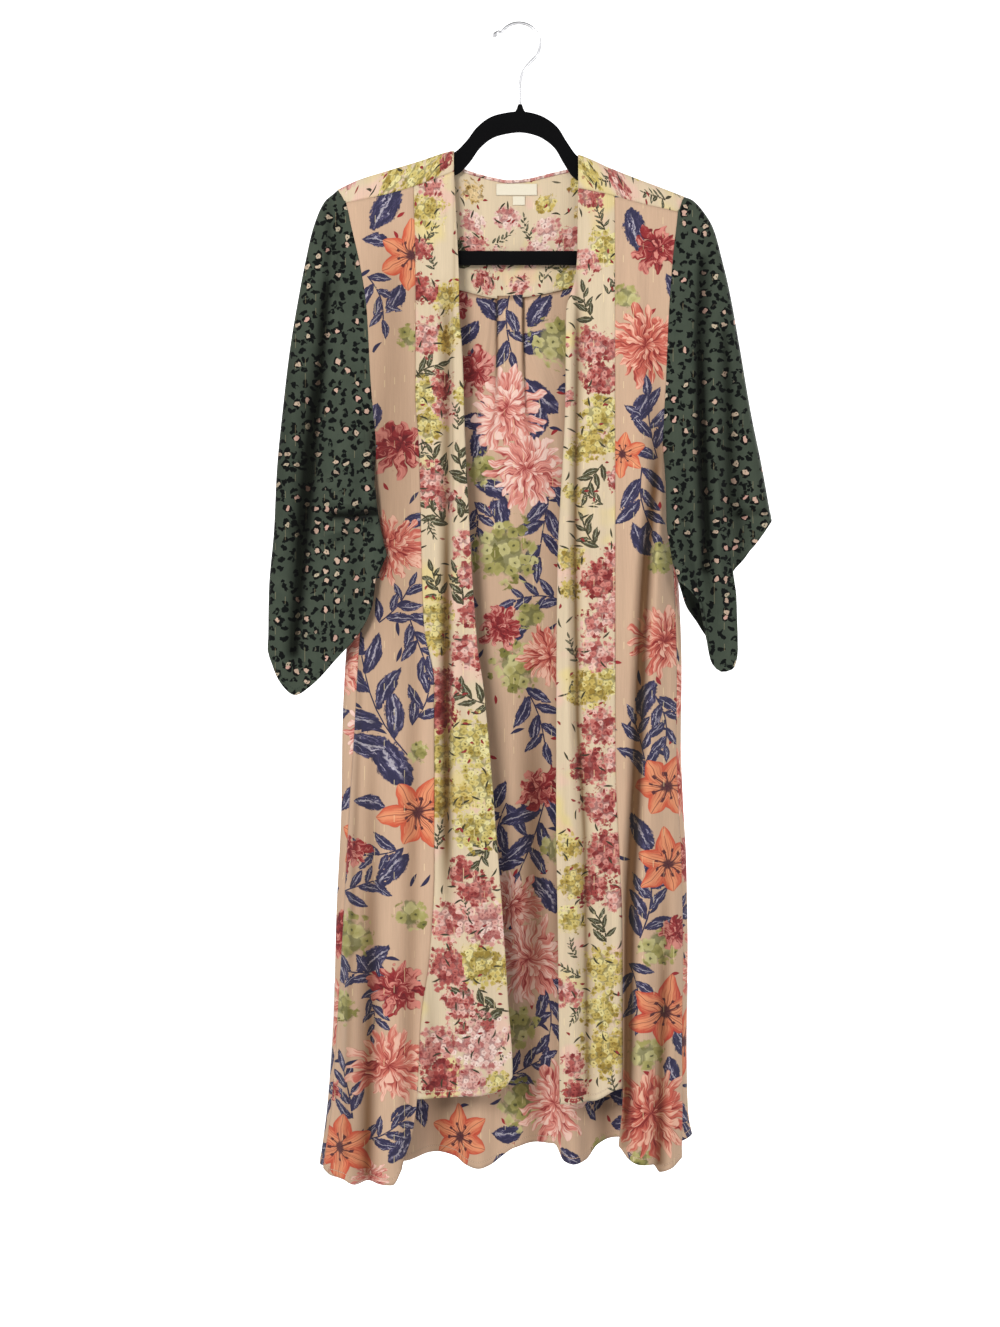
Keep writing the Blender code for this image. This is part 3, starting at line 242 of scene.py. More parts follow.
BACK_FOLDS = (
    Fold(((420, -30.0), (1260, -45.0)), 26, -10.0, 0.0, (400, 1150, 1400, 1500)),
    Fold(((420, 8.0), (1260, 18.0)), 24, 7.0, 0.0, (400, 1150, 1400, 1500)),
    Fold(((420, 40.0), (1260, 60.0)), 21, -13.0, 0.0, (520, 1190, 1400, 1500)),
    Fold(((500, 80.0), (1260, 98.0)), 22, 8.0, 0.0, (460, 1100, 1400, 1500)),
    Fold(((500, 112.0), (1260, 140.0)), 25, -7.0, 0.0, (400, 1100, 1400, 1500)),
    Fold(((500, -70.0), (1260, -88.0)), 24, 9.0, 0.0, (420, 1100, 1400, 1500)),
    Fold(((500, -104.0), (1260, -128.0)), 24, -8.0, 0.0, (420, 1100, 1400, 1500)),
    Fold(((600, -136.0), (1260, -168.0)), 22, 9.0, 0.0, (480, 1100, 1400, 1500)),
)

# Sleeves: outer fold, underarm seam and the two hems, all as (x, drop) from top to bottom or
# from the outer corner to the inner one
SLEEVE_OUTER = {
    "left": ((-199.1, 182.2), (-205.7, 188.0), (-213.4, 195.0), (-226.6, 226.2), (-234.3, 259.2),
             (-240.9, 292.2), (-251.9, 358.2), (-259.6, 424.2), (-266.2, 490.2), (-269.5, 556.2),
             (-275.0, 622.2), (-276.1, 686.0)),
    "right": ((181.5, 189.9), (190.0, 193.0), (205.7, 209.7), (214.5, 226.2), (223.3, 259.2),
              (231.0, 292.2), (243.1, 358.2), (254.1, 424.2), (267.3, 490.2), (277.2, 546.0)),
}
UNDERARM = {
    "left": ((-157.3, 462.7), (-158.4, 490.0), (-154.8, 530.0), (-149.5, 562.0), (-144.0, 585.0)),
    "right": ((158.4, 462.7), (160.2, 490.0), (160.0, 540.0), (166.5, 592.0), (173.8, 614.0)),
}
FRONT_HEM = {
    "left": ((-276.1, 686.0), (-261.8, 722.3), (-244.2, 737.7), (-228.0, 728.0), (-198.0, 697.0),
             (-172.7, 668.4), (-159.5, 639.8), (-155.1, 609.0), (-144.0, 585.0)),
    "right": ((277.2, 546.0), (258.5, 572.7), (245.3, 587.0), (233.2, 601.3), (236.5, 633.2),
              (237.6, 688.2), (233.2, 708.0), (221.1, 712.4), (209.0, 702.0), (203.0, 668.0),
              (197.0, 640.0), (186.0, 625.0), (173.8, 614.0)),
}
BACK_HEM_OF_SLEEVE = {
    "left": ((-276.1, 686.0), (-252.0, 716.0), (-230.0, 708.0), (-198.0, 680.0), (-172.0, 650.0),
             (-157.0, 615.0), (-144.0, 585.0)),
    "right": ((277.2, 546.0), (250.0, 586.0), (232.0, 610.0), (229.0, 664.0), (220.0, 684.0),
              (207.0, 676.0), (194.0, 658.0), (182.0, 640.0), (173.8, 614.0)),
}
# Along a sleeve from armhole to hem: depth of its inner side, half its thickness at the outer
# side and at the inner side, as (share, mm)
SLEEVE_SWING = ((0.0, -3.0), (0.25, -15.0), (0.5, -24.0), (1.0, -29.5))
SLEEVE_HALF_OUTER = ((0.0, 10.0), (0.4, 12.5), (1.0, 15.0))
SLEEVE_HALF_INNER = ((0.0, 9.0), (0.3, 5.5), (1.0, 4.5))
# Places round a sleeve, closest together over the hanger's end: share from outer to inner side
SLEEVE_ROUND = (0.0, 0.006, 0.026, 0.07, 0.14, 0.23, 0.33, 0.43, 0.53, 0.63, 0.73, 0.83, 0.92, 0.975, 1.0)
OUTER_TURN = 0.07          # share of the width over which a sleeve turns at its outer fold
INNER_TURN = 0.10          # the same at the underarm seam
UNDERARM_ROOM = -0.4       # how far the sleeve's tube stands away from the body's edge

# Folds of the sleeves' front and back layers: here line is a list of (x, drop)
Crease = namedtuple("Crease", "layer line width push")
SLEEVE_CREASES = {
    "left": (
        Crease("front", ((-198, 215), (-200, 300)), 9, 4.0),
        Crease("front", ((-211, 290), (-218, 385), (-222, 420), (-235, 560), (-241, 625), (-247, 690)),
               14, 11.0),
        Crease("front", ((-192, 330), (-196, 480), (-205, 520)), 20, -4.0),
        Crease("front", ((-207, 541), (-182, 542), (-154, 540)), 6, 9.0),
        Crease("front", ((-208, 527), (-182, 529), (-154, 528)), 8, -4.0),
        Crease("front", ((-209, 562), (-188, 556), (-162, 551)), 9, -6.0),
        Crease("back", ((-215, 260), (-226, 420), (-240, 640)), 16, -6.0),
        Crease("back", ((-190, 330), (-200, 520)), 18, 4.0),
    ),
    "right": (
        Crease("front", ((200, 260), (196, 348), (199, 450), (201, 497), (205, 560), (203, 600)),
               12, 10.0),
        Crease("front", ((225, 340), (229, 412), (230, 540)), 11, 6.0),
        Crease("front", ((213, 380), (216, 520), (219, 640)), 13, -5.0),
        Crease("front", ((240, 540), (270, 537)), 10, 7.0),
        Crease("back", ((205, 270), (214, 420), (222, 600)), 16, -6.0),
        Crease("back", ((236, 330), (244, 520)), 15, 4.0),
    ),
}

# Painted shade and painted shadow where folds lie deep, sleeves and bands shade the cloth, and the
# sheer cloth lies double, read off: each line has rows of x, drop, half width and depth, and fades along
# itself
SLEEVE_DARK = {
    "left": (
        ((-208, 186, 4, 0.0), (-209, 225, 4, 0.55), (-211, 290, 5, 0.5), (-219, 350, 8, 0.3)),
        ((-214, 330, 9, 0.0), (-225, 400, 12, 0.55), (-231, 470, 13, 0.85), (-238, 560, 13, 0.95),
         (-240, 610, 11, 0.65), (-246, 690, 9, 0.45), (-246, 735, 8, 0.0)),
        ((-212, 544, 4, 0.0), (-200, 541, 6, 0.9), (-178, 541, 8, 1.0), (-152, 537, 6, 0.9)),
        ((-214, 575, 5, 0.0), (-204, 572, 5, 0.5), (-185, 561, 5, 0.4), (-160, 550, 4, 0.0)),
        ((-246, 300, 8, 0.0), (-254, 400, 9, 0.3), (-262, 520, 8, 0.2), (-268, 620, 8, 0.0)),
        ((-176, 420, 9, 0.0), (-176, 500, 9, 0.25), (-182, 640, 9, 0.2), (-190, 690, 8, 0.0)),
    ),
    "right": (
        ((207, 215, 4, 0.0), (206, 285, 5, 0.45), (201, 385, 6, 0.7), (200, 450, 8, 1.0),
         (201, 540, 8, 1.0), (205, 610, 7, 0.6), (214, 680, 6, 0.0)),
        ((222, 300, 7, 0.0), (228, 380, 8, 0.35), (233, 470, 9, 0.5), (239, 550, 9, 0.65),
         (240, 596, 7, 0.3)),
        ((178, 430, 6, 0.0), (176, 520, 7, 0.25), (184, 600, 8, 0.35), (196, 640, 7, 0.0)),
    ),
}
# Painted shade on the inside of a sleeve's back layer, seen at its hem
SLEEVE_INSIDE_DARK = {
    "left": (),
    "right": (((172, 600, 16, 0.6), (190, 640, 16, 1.0), (206, 690, 14, 1.0), (222, 720, 10, 0.8)),),
}
FRONT_DARK = {
    "left": (
        ((-140, 215, 24, 0.0), (-142, 300, 28, 0.36), (-140, 460, 28, 0.42), (-136, 640, 24, 0.3),
         (-134, 800, 22, 0.0)),
        ((-76, 280, 5, 0.0), (-77, 340, 5, 0.2), (-79, 540, 6, 0.3), (-80, 660, 7, 0.7),
         (-79, 880, 7, 0.7), (-78, 1000, 7, 0.0)),
        ((-71, 165, 2, 0.3), (-70, 500, 2, 0.35), (-70, 700, 2, 0.0)),
        ((-173, 700, 3, 0.3), (-178, 900, 4, 0.5), (-186, 1240, 4, 0.4)),
        ((-160, 900, 9, 0.0), (-163, 1100, 9, 0.3), (-166, 1260, 8, 0.4)),
        ((-98, 1010, 6, 0.0), (-96, 1120, 7, 0.35), (-94, 1180, 7, 0.3)),
    ),
    "right": (
        ((152, 470, 6, 0.0), (140, 570, 7, 0.6), (136, 700, 7, 0.85), (129, 830, 7, 0.9),
         (122, 960, 7, 0.9), (119, 1140, 7, 0.8), (116, 1230, 7, 0.2)),
        ((62, 180, 2, 0.0), (63, 320, 3, 0.5), (61, 600, 3, 0.6), (64, 770, 3, 0.6),
         (71, 890, 3, 0.5), (74, 1160, 3, 0.4)),
        ((160, 900, 8, 0.0), (158, 1080, 8, 0.3), (153, 1250, 8, 0.35)),
        ((142, 300, 12, 0.0), (146, 430, 12, 0.25), (150, 520, 10, 0.3), (150, 600, 8, 0.0)),
    ),
}
BACK_DARK = (
    ((58, 300, 7, 0.3), (55, 420, 8, 0.45), (50, 600, 8, 0.45), (47, 760, 10, 0.45),
     (46, 1000, 12, 0.5), (56, 1150, 10, 0.3), (60, 1220, 9, 0.0)),
    ((-60, 300, 6, 0.3), (-58, 450, 6, 0.3), (-44, 640, 6, 0.35), (-22, 860, 7, 0.4),
     (-14, 1000, 8, 0.45), (-4, 1130, 8, 0.2), (0, 1190, 8, 0.0)),
    ((16, 700, 10, 0.0), (20, 850, 14, 0.4), (22, 1000, 14, 0.45), (26, 1100, 12, 0.0)),
)

# Labels inside the neck: left and right x, top and bottom drop
LABELS = {
    "neck_label": (-25.0, 20.0, 173.6, 186.2),
    "size_label": (-6.8, 6.6, 187.2, 197.0),
}
LABEL_LIFT = 1.5           # from the middle of the yoke's cloth
LABEL_CLOTH = 0.6
BINDING_LIFT = 1.1
BINDING_CLOTH = 1.3

# Hanger
ARM_SEAT = 1.9             # from the yoke's middle line down to the arm's top
ARM_HIGH = 23.0            # height of its arms
ARM_TAPER = 0.93           # the inner rim is this much narrower than the outer one
BAR_TOP = 249.3
BAR_BOTTOM = 264.7
BAR_END = 190.0
HANGER_HALF = 2.5          # half its thickness
HANGER_ROUNDING = 1.4
BAR_MIDDLE = 45.0          # the bar's stations keep this far from its ends
BAR_STATIONS = 7
ARM_STATIONS = 8
ARM_END = {"left": -192.0, "right": 174.0}       # where its rim leaves the shoulder line
INNER_LIMIT = {"left": 190.0, "right": 178.0}    # the inner rim's arm stays inside this
# Points of its rims as (x, drop): the arch over the neck, and both ends of the outer and inner rim
HANGER_ARCH = {
    "left": ((-8.0, 96.4), (-30.0, 101.5), (-46.0, 113.0), (-58.0, 128.5)),
    "right": ((8.0, 96.4), (26.0, 101.5), (42.0, 113.0), (53.0, 130.0)),
}
OUTER_END = {
    "left": ((-201.0, 191.5), (-205.5, 203.0), (-206.0, 225.0), (-202.0, 248.0), (-197.0, 260.0)),
    "right": ((184.5, 197.5), (192.5, 207.0), (197.5, 226.0), (197.0, 248.0), (196.0, 260.0)),
}
INNER_END = {
    "left": ((-191.0, 214.0), (-194.0, 222.0), (-193.0, 234.0), (-189.0, 244.0), (-184.0, 248.0),
             (-176.0, BAR_TOP)),
    "right": ((181.0, 218.0), (186.0, 226.0), (187.0, 236.0), (184.0, 245.0), (179.0, 248.4),
              (172.0, BAR_TOP)),
}
STEM_X = 1.2
HANGER = "hanger_body_flock"
RIM_PARTS = 6              # stations between two points of a rim
HUB_SIDES = 40
# Outline of the hub round its bore: drop, half width and half depth
HUB = ((107.0, 1.72, 1.72), (88.6, 1.72, 1.72), (88.3, 2.3, 2.3), (90.0, 2.8, 2.7), (92.5, 3.6, 3.2),
       (95.0, 4.8, 3.6), (97.3, 6.5, 3.2), (99.5, 8.5, 2.3), (108.0, 8.5, 2.0))

# The print, read off, by kind of motif. Each row has the place of its middle on the
# hanging coat as x and drop, how far it reaches from there, and its tone, or for leaves and
# sprays its turn in degrees. Tone 0 is the redder of a bloom's colours and 1 the pinker. Of a
# small cluster it is 0 pale pink, 0.35 pink, 0.55 dark red, 0.72 yellow and 1 gold.
Motif = namedtuple("Motif", "kind x drop reach turn tone")
LEAF_TONE = 0.3
PRINT_SEED = 7
YOKE_BEHIND = (-190.0, 175.0, -112.0, -4.0)    # the yoke's part behind the shoulders, on its flat
LEFT_FRONT = {
    "leaf": ((-147, 204, 26, 150), (-156, 240, 14, 80), (-136, 305, 16, 150), (-160, 435, 15, 160),
        (-156, 466, 13, 100), (-112, 546, 14, 290), (-140, 807, 31, 35), (-163, 855, 15, 80),
        (-139, 928, 22, 140), (-194, 1035, 18, 20), (-158, 1024, 20, 310), (-129, 1227, 18, 330),
        (-127, 1192, 13, 300)),
    "spray": ((-157, 303, 29, 200), (-136, 639, 29, 320), (-111, 677, 33, 200), (-147, 749, 68, 25),
        (-107, 743, 33, 340), (-151, 908, 29, 100), (-175, 947, 29, 290), (-166, 1046, 29, 70),
        (-162, 1082, 24, 190), (-184, 1172, 29, 10), (-147, 1211, 29, 300)),
    "green": ((-119, 347, 18, 0.5), (-111, 800, 15, 0.4), (-118, 976, 22, 0.5), (-186, 998, 33, 0.5),
        (-195, 1079, 24, 0.4)),
    "peony": ((-131, 466, 37, 0.1), (-184, 908, 26, 0.2), (-133, 1057, 37, 0.1), (-206, 1167, 15, 0.1)),
    "dahlia": ((-141, 576, 46, 0.25), (-140, 1139, 51, 0.3), (-162, 1262, 24, 0.8)),
    "lily": ((-119, 257, 44, 0.2), (-109, 866, 51, 0.15), (-193, 1229, 44, 0.3)),
}
RIGHT_FRONT = {
    "leaf": ((127, 228, 22, 190), (168, 292, 15, 20), (133, 424, 18, 150), (133, 567, 18, 30),
        (140, 743, 20, 160), (133, 886, 20, 30), (179, 1117, 18, 30), (168, 1148, 15, 200)),
    "spray": ((146, 446, 37, 10), (140, 523, 40, 190), (155, 765, 31, 190), (135, 798, 33, 15),
        (139, 969, 37, 350), (125, 1057, 31, 190), (120, 1249, 18, 90)),
    "green": ((117, 303, 18, 0.4), (155, 589, 20, 0.5), (152, 1013, 26, 0.5), (139, 1128, 24, 0.4),
        (133, 1240, 13, 0.4)),
    "peony": ((150, 248, 35, 0.1), (173, 996, 24, 0.2)),
    "dahlia": ((139, 353, 51, 0.15), (161, 677, 48, 0.2), (144, 1192, 57, 0.1)),
    "lily": ((113, 474, 29, 0.2), (160, 837, 46, 0.25), (164, 921, 44, 0.3), (160, 1084, 46, 0.7)),
}
BACK = {
    "leaf": ((23, 312, 20, 320), (16, 345, 22, 290), (-58, 339, 16, 140), (23, 405, 24, 40),
        (19, 430, 22, 350), (-50, 435, 18, 80), (-44, 459, 20, 170), (-30, 510, 18, 70),
        (-19, 536, 20, 190), (-3, 671, 16, 310), (-21, 848, 15, 330), (29, 958, 22, 40),
        (-15, 1225, 18, 90), (56, 1249, 15, 60)),
    "spray": ((-9, 323, 40, 180), (29, 545, 46, 170), (-48, 545, 24, 180), (23, 633, 29, 90),
        (19, 760, 37, 200), (15, 892, 51, 160), (-19, 892, 40, 170), (29, 1090, 44, 185),
        (-4, 1156, 33, 290), (80, 1185, 33, 20)),
    "green": ((43, 347, 37, 0.5), (-40, 488, 24, 0.5), (-14, 580, 46, 0.6), (-3, 708, 35, 0.5),
        (12, 650, 20, 0.5), (40, 908, 22, 0.3), (-4, 1106, 31, 0.3), (1, 1192, 37, 0.5)),
    "peony": ((-50, 382, 35, 0.5), (-21, 664, 31, 0.4), (24, 842, 33, 0.1), (-32, 1170, 18, 0.3)),
    "dahlia": ((-13, 422, 57, 0.9), (10, 488, 55, 0.95), (34, 694, 42, 0.25), (-8, 969, 46, 0.7),
        (12, 1031, 57, 0.75), (43, 1192, 55, 0.7)),
    "lily": ((-63, 1229, 46, 0.45),),
}
# What fills the bare places of the back and the yoke: kind, reach, tones and count
BACK_FILLING = (("dahlia", 50.0, (0.0, 1.0), 12), ("lily", 44.0, (0.0, 0.6), 10),
                ("green", 36.0, (0.3, 0.7), 12), ("peony", 33.0, (0.0, 0.5), 10),
                ("spray", 40.0, (0.3, 0.3), 40), ("leaf", 20.0, (0.3, 0.3), 60))
YOKE_FILLING = (("cluster", 15.0, (0.0, 1.0), 26), ("spray", 14.0, (0.3, 0.3), 26))
LEFT_BAND = {
    "spray": ((-99, 235, 15, 330), (-97, 261, 13, 20), (-103, 385, 19, 300), (-107, 470, 15, 330),
        (-89, 490, 20, 20), (-90, 536, 22, 40), (-96, 554, 13, 200), (-89, 618, 18, 20),
        (-87, 892, 15, 350), (-67, 435, 15, 10), (-58, 490, 20, 20), (-56, 529, 18, 340),
        (-63, 622, 20, 10), (-50, 738, 22, 60), (-36, 908, 20, 150), (-58, 969, 15, 10),
        (-38, 1071, 26, 70), (-19, 1123, 13, 180)),
    "cluster": ((-96, 178, 15, 0.3), (-100, 206, 18, 0.8), (-110, 250, 13, 0.5), (-110, 292, 16, 0.55),
        (-96, 298, 11, 0.5), (-80, 303, 15, 0.85), (-100, 345, 19, 0.32), (-80, 347, 16, 0.95),
        (-109, 409, 20, 0.75), (-85, 400, 15, 0.52), (-98, 441, 18, 0.78), (-86, 426, 11, 0.34),
        (-100, 506, 21, 0.36), (-80, 523, 13, 0.34), (-89, 650, 19, 0.8), (-89, 677, 16, 0.85),
        (-86, 727, 22, 0.48), (-86, 760, 20, 0.55), (-88, 804, 22, 0.78), (-86, 848, 21, 0.92),
        (-65, 336, 13, 0.78), (-63, 292, 11, 0.9), (-58, 408, 11, 0.74), (-55, 573, 16, 0.34),
        (-52, 606, 15, 0.3), (-47, 650, 18, 0.45), (-56, 688, 18, 0.36), (-38, 694, 19, 0.5),
        (-50, 793, 29, 0.72), (-38, 837, 24, 0.76), (-61, 848, 19, 0.88), (-45, 881, 24, 0.72),
        (-63, 930, 15, 0.5), (-45, 950, 19, 0.5), (-36, 985, 26, 0.18), (-76, 985, 22, 0.32),
        (-76, 1035, 24, 0.46), (-45, 1029, 24, 0.78), (-24, 1035, 18, 0.84), (-63, 1073, 19, 0.36),
        (-45, 1117, 33, 0.06), (-61, 1101, 10, 0.5), (-36, 1097, 10, 0.48), (-85, 1117, 20, 0.28),
        (-84, 1152, 24, 0.54), (-54, 1156, 18, 0.12), (-23, 1157, 12, 0.75), (-100, 1128, 15, 0.3)),
}
RIGHT_BAND = {
    "spray": ((89, 215, 16, 20), (102, 287, 15, 340), (76, 312, 18, 20), (82, 501, 20, 150),
        (80, 523, 15, 60), (78, 562, 19, 30), (89, 991, 18, 20), (102, 1156, 13, 10), (59, 688, 15, 20),
        (61, 732, 13, 200), (59, 1013, 12, 20), (56, 1038, 14, 60), (61, 1084, 11, 150)),
    "cluster": ((78, 189, 15, 0.45), (96, 248, 20, 0.74), (76, 261, 14, 0.3), (80, 356, 22, 0.38),
        (89, 391, 20, 0.5), (105, 358, 15, 0.3), (91, 430, 22, 0.74), (78, 463, 18, 0.82),
        (105, 457, 16, 0.78), (111, 501, 15, 0.34), (87, 611, 21, 0.54), (105, 589, 15, 0.36),
        (100, 644, 20, 0.3), (80, 661, 15, 0.34), (85, 694, 20, 0.34), (76, 732, 21, 0.84),
        (102, 721, 18, 0.74), (89, 771, 22, 0.38), (78, 815, 22, 0.5), (102, 809, 15, 0.3),
        (89, 859, 21, 0.4), (96, 908, 26, 0.5), (80, 947, 18, 0.52), (105, 958, 15, 0.36),
        (94, 1035, 22, 0.82), (89, 1079, 22, 0.78), (94, 1123, 26, 0.86), (52, 413, 10, 0.3),
        (62, 474, 11, 0.78), (59, 518, 11, 0.8), (57, 589, 14, 0.84), (56, 622, 11, 0.82),
        (54, 903, 14, 0.86), (61, 941, 18, 0.84), (56, 980, 14, 0.78), (53, 1062, 16, 0.32),
        (59, 1139, 13, 0.46), (61, 1167, 13, 0.52)),
}
YOKE_FRONT = {
    "spray": ((150, 190, 16, 60), (95, 172, 14, 40)),
    "cluster": ((-140, 172, 15, 0.76), (-112, 170, 17, 0.74), (-92, 158, 13, 0.82), (-82, 150, 10, 0.5),
        (76, 165, 12, 0.78), (110, 178, 12, 0.3)),
}
YOKE_BACK = {
    "leaf": ((-62, 243, 13, 150), (-66, 256, 11, 80)),
    "spray": ((32, 268, 14, 330), (45, 262, 15, 20), (-20, 232, 13, 300), (10, 222, 14, 20)),
    "cluster": ((-47, 238, 13, 0.30), (-38, 278, 12, 0.46), (52, 279, 13, 0.74), (-52, 215, 13, 0.08),
        (-12, 210, 14, 0.05), (30, 222, 14, 0.06), (20, 250, 15, 0.04), (-20, 256, 13, 0.18),
        (55, 232, 14, 0.3)),
}


def curve(rows, at, column=1):
    """A smooth line through the rows, never past them: the value of a column at a station."""
    station = np.array([row[0] for row in rows], float)
    value = np.array([row[column] for row in rows], float)
    if station[0] > station[-1]:
        station = station[::-1]
        value = value[::-1]
    step = np.diff(station)
    slope = np.diff(value) / step
    tangent = np.zeros_like(value)
    tangent[0] = slope[0]
    tangent[-1] = slope[-1]
    same = slope[:-1] * slope[1:] > 0.0
    before = np.where(same, slope[:-1], 1.0)
    after = np.where(same, slope[1:], 1.0)
    tangent[1:-1] = np.where(same, 2.0 * before * after / (before + after), 0.0)
    at = np.clip(np.asarray(at, float), station[0], station[-1])
    i = np.clip(np.searchsorted(station, at, side="right") - 1, 0, len(step) - 1)
    t = (at - station[i]) / step[i]
    return (value[i] * (1 + 2 * t) * (1 - t) ** 2 + value[i + 1] * t * t * (3 - 2 * t)
            + step[i] * (tangent[i] * t * (1 - t) ** 2 + tangent[i + 1] * t * t * (t - 1)))


def along(rows, share):
    """A point at a share of the length of a line given as (x, drop)."""
    points = np.array(rows, float)
    length = np.concatenate(([0.0], np.cumsum(np.hypot(*np.diff(points, axis=0).T))))
    length /= length[-1]
    x = curve(list(zip(length, points[:, 0])), share)
    drop = curve(list(zip(length, points[:, 1])), share)
    return np.stack([x, drop], -1)


def smooth(value):
    """0 below 0, 1 above 1 and an even S between them."""
    value = np.clip(value, 0.0, 1.0)
    return value * value * (3.0 - 2.0 * value)


def bump(distance, width):
    """A soft ridge of height 1 that ends at the given distance."""
    reach = np.clip(np.abs(distance) / width, 0.0, 1.0)
    return np.cos(0.5 * np.pi * reach) ** 2


def side_sign(side):
    return -1.0 if side == "left" else 1.0


def edge_place(side, drop, layer):
    """x and depth of the armhole edge, and below it of the side seam."""
    depth_column = 2 if layer == "front" else 3
    arm = ARMHOLE[side]
    seam = SIDE[side]
    above = np.asarray(drop, float) < arm[-1].drop
    x = np.where(above, curve(arm, drop, 1), curve(seam, drop, 1))
    y = np.where(above, curve(arm, drop, depth_column), curve(seam, drop, 2))
    return x, y


def rolled(edge_y, deep, inset):
    """Depth of a panel that curves in from its side edge to its full depth."""
    return edge_y + (deep - edge_y) * np.sin(0.5 * np.pi * np.clip(inset / ROLL, 0.0, 1.0))


def fold_grown(fold, drop):
    """How far a fold has grown at a drop, from 0 to 1."""
    start, full, last, end = fold.span
    return smooth((drop - start) / (full - start)) * smooth((end - drop) / (end - last))


def fold_shift(folds, x, drop):
    """How far the folds move a point back and sideways."""
    push = np.zeros_like(x)
    lean = np.zeros_like(x)
    for fold in folds:
        ridge = bump(x - curve(fold.line, drop), fold.width) * fold_grown(fold, drop)
        push += fold.push * ridge
        lean += fold.lean * ridge
    return push, lean


def front_point(side, x, drop):
    """A point of the left or right front, with its folds."""
    edge_x, edge_y = edge_place(side, drop, "front")
    inset = np.maximum(side_sign(side) * (edge_x - x), 0.0)
    y = rolled(edge_y, curve(FRONT_DEPTH, drop), inset)
    push, lean = fold_shift(FRONT_FOLDS[side], x, drop)
    calm = smooth(inset / EDGE_CALM)
    return np.stack([x + lean * calm, y + push * calm, -drop], -1)


def back_depth(x, drop):
    """Depth of the back near the yoke's seam: it falls away from the armhole edges."""
    left_x, left_y = edge_place("left", drop, "back")
    right_x, right_y = edge_place("right", drop, "back")
    edge_x = np.where(x < 0.0, left_x, right_x)
    edge_y = np.where(x < 0.0, left_y, right_y)
    inset = np.maximum(np.sign(x) * (edge_x - x), 0.0)
    return rolled(edge_y, curve(BACK_DEPTH, drop), inset)


def unit(vectors):
    """The vectors at length 1."""
    return vectors / np.maximum(np.linalg.norm(vectors, axis=-1, keepdims=True), 1e-9)


def normals_of(points, wrap=False):
    """Unit normals of a grid of points."""
    down = np.gradient(points, axis=0)
    if wrap:
        across = np.roll(points, -1, axis=1) - np.roll(points, 1, axis=1)
    else:
        across = np.gradient(points, axis=1)
    return unit(np.cross(down, across))


def upright_normals(points):
    """Unit normals square to each column of a grid, with no part along X."""
    down = np.gradient(points, axis=0)
    return unit(np.stack([np.zeros_like(down[..., 0]), -down[..., 2], down[..., 1]], -1))


def fit_grid(columns, left_x, right_x, top, bottom):
    """x and drop of a front panel's grid between two side edges and two end edges."""
    v = np.linspace(0, 1, FRONT_ROWS)[:, None]
    u = np.linspace(0, 1, columns)[None, :]
    drop = np.full((FRONT_ROWS, columns), FIT_START)
    for _ in range(FIT_ROUNDS):
        left = left_x(drop)
        x = left + (right_x(drop) - left) * u
        first = top(x)
        drop = first + (bottom(x) - first) * v
    return x, drop


# Rows of the yoke over the shoulder: depth and height under the shoulder line
WRAP = ((7.4, 22.0), (5.3, 6.5), (3.0, 1.3), (0.0, 0.0), (-3.0, 1.3), (-5.3, 6.5))
TOP_ROW = 6                      # the row on the shoulder line
YOKE_FALL_ROWS = (0.70, 0.36)    # rows between the back seam and the first of these
YOKE_FALL_POWER = 0.8            # the yoke falls away from the shoulder ever more slowly
NO_FRONT = 1e9                   # stands for the way to a front seam where there is none


def wing_column(side, share):
    """One column of a wing of the yoke, from the back seam over the shoulder to the front."""
    end = 0 if side == "left" else -1
    neck_x = NECK_LEFT if side == "left" else NECK_RIGHT
    gap = 0.5 * SEAM_GAP
    arm_gap = side_sign(side) * 0.5 * ARM_GAP
    shoulder = ARMHOLE[side][0]

    def between(edge_x):
        return edge_x + (neck_x - edge_x) * share

    def beside_arm(drop):
        return between(curve(ARMHOLE[side], drop, 1) - arm_gap)

    ridge = curve(SHOULDER, between(shoulder.x))
    seam_x = between(BACK_YOKE_SEAM[end][0] - arm_gap)
    seam_drop = curve(BACK_YOKE_SEAM, seam_x) - gap
    seam_y = back_depth(np.array(seam_x), np.array(seam_drop))
    first_y, first_height = WRAP[0]
    first_drop = ridge + first_height
    column = [np.array([seam_x, seam_y, -seam_drop])]
    for step in YOKE_FALL_ROWS:
        drop = first_drop + (seam_drop - first_drop) * step
        y = first_y + (seam_y - first_y) * step ** YOKE_FALL_POWER
        column.append(np.array([beside_arm(shoulder.drop + drop - ridge), y, -drop]))
    for depth, height in WRAP:
        column.append(np.array([beside_arm(shoulder.drop + height), depth, -(ridge + height)]))
    front_x = between(FRONT_YOKE_SEAM[side][end][0] - arm_gap)
    front_drop = curve(FRONT_YOKE_SEAM[side], front_x) - gap
    column.append(front_point(side, np.array(front_x), np.array(front_drop)))
    return column


def yoke_wing(side, shares):
    """Grid of the yoke beside the neck, from the back seam over the shoulder to the front."""
    return np.array([wing_column(side, share) for share in shares])


# Rows of the yoke under the neck opening, as shares of the way up from its back seam; the
# binding covers the last stretch
NECK_ROWS = (0.0, 0.28, 0.54, 0.80, 0.93, 0.974, 1.0)
NECK_STATIONS = (-71.0, -69.4, -65.0, -57.0, -45.0, -30.0, -11.0, 10.0, 29.0, 45.0, 55.0, 60.0,
                 62.8, 64.4)
BINDING_STATIONS = NECK_STATIONS[2:-2]


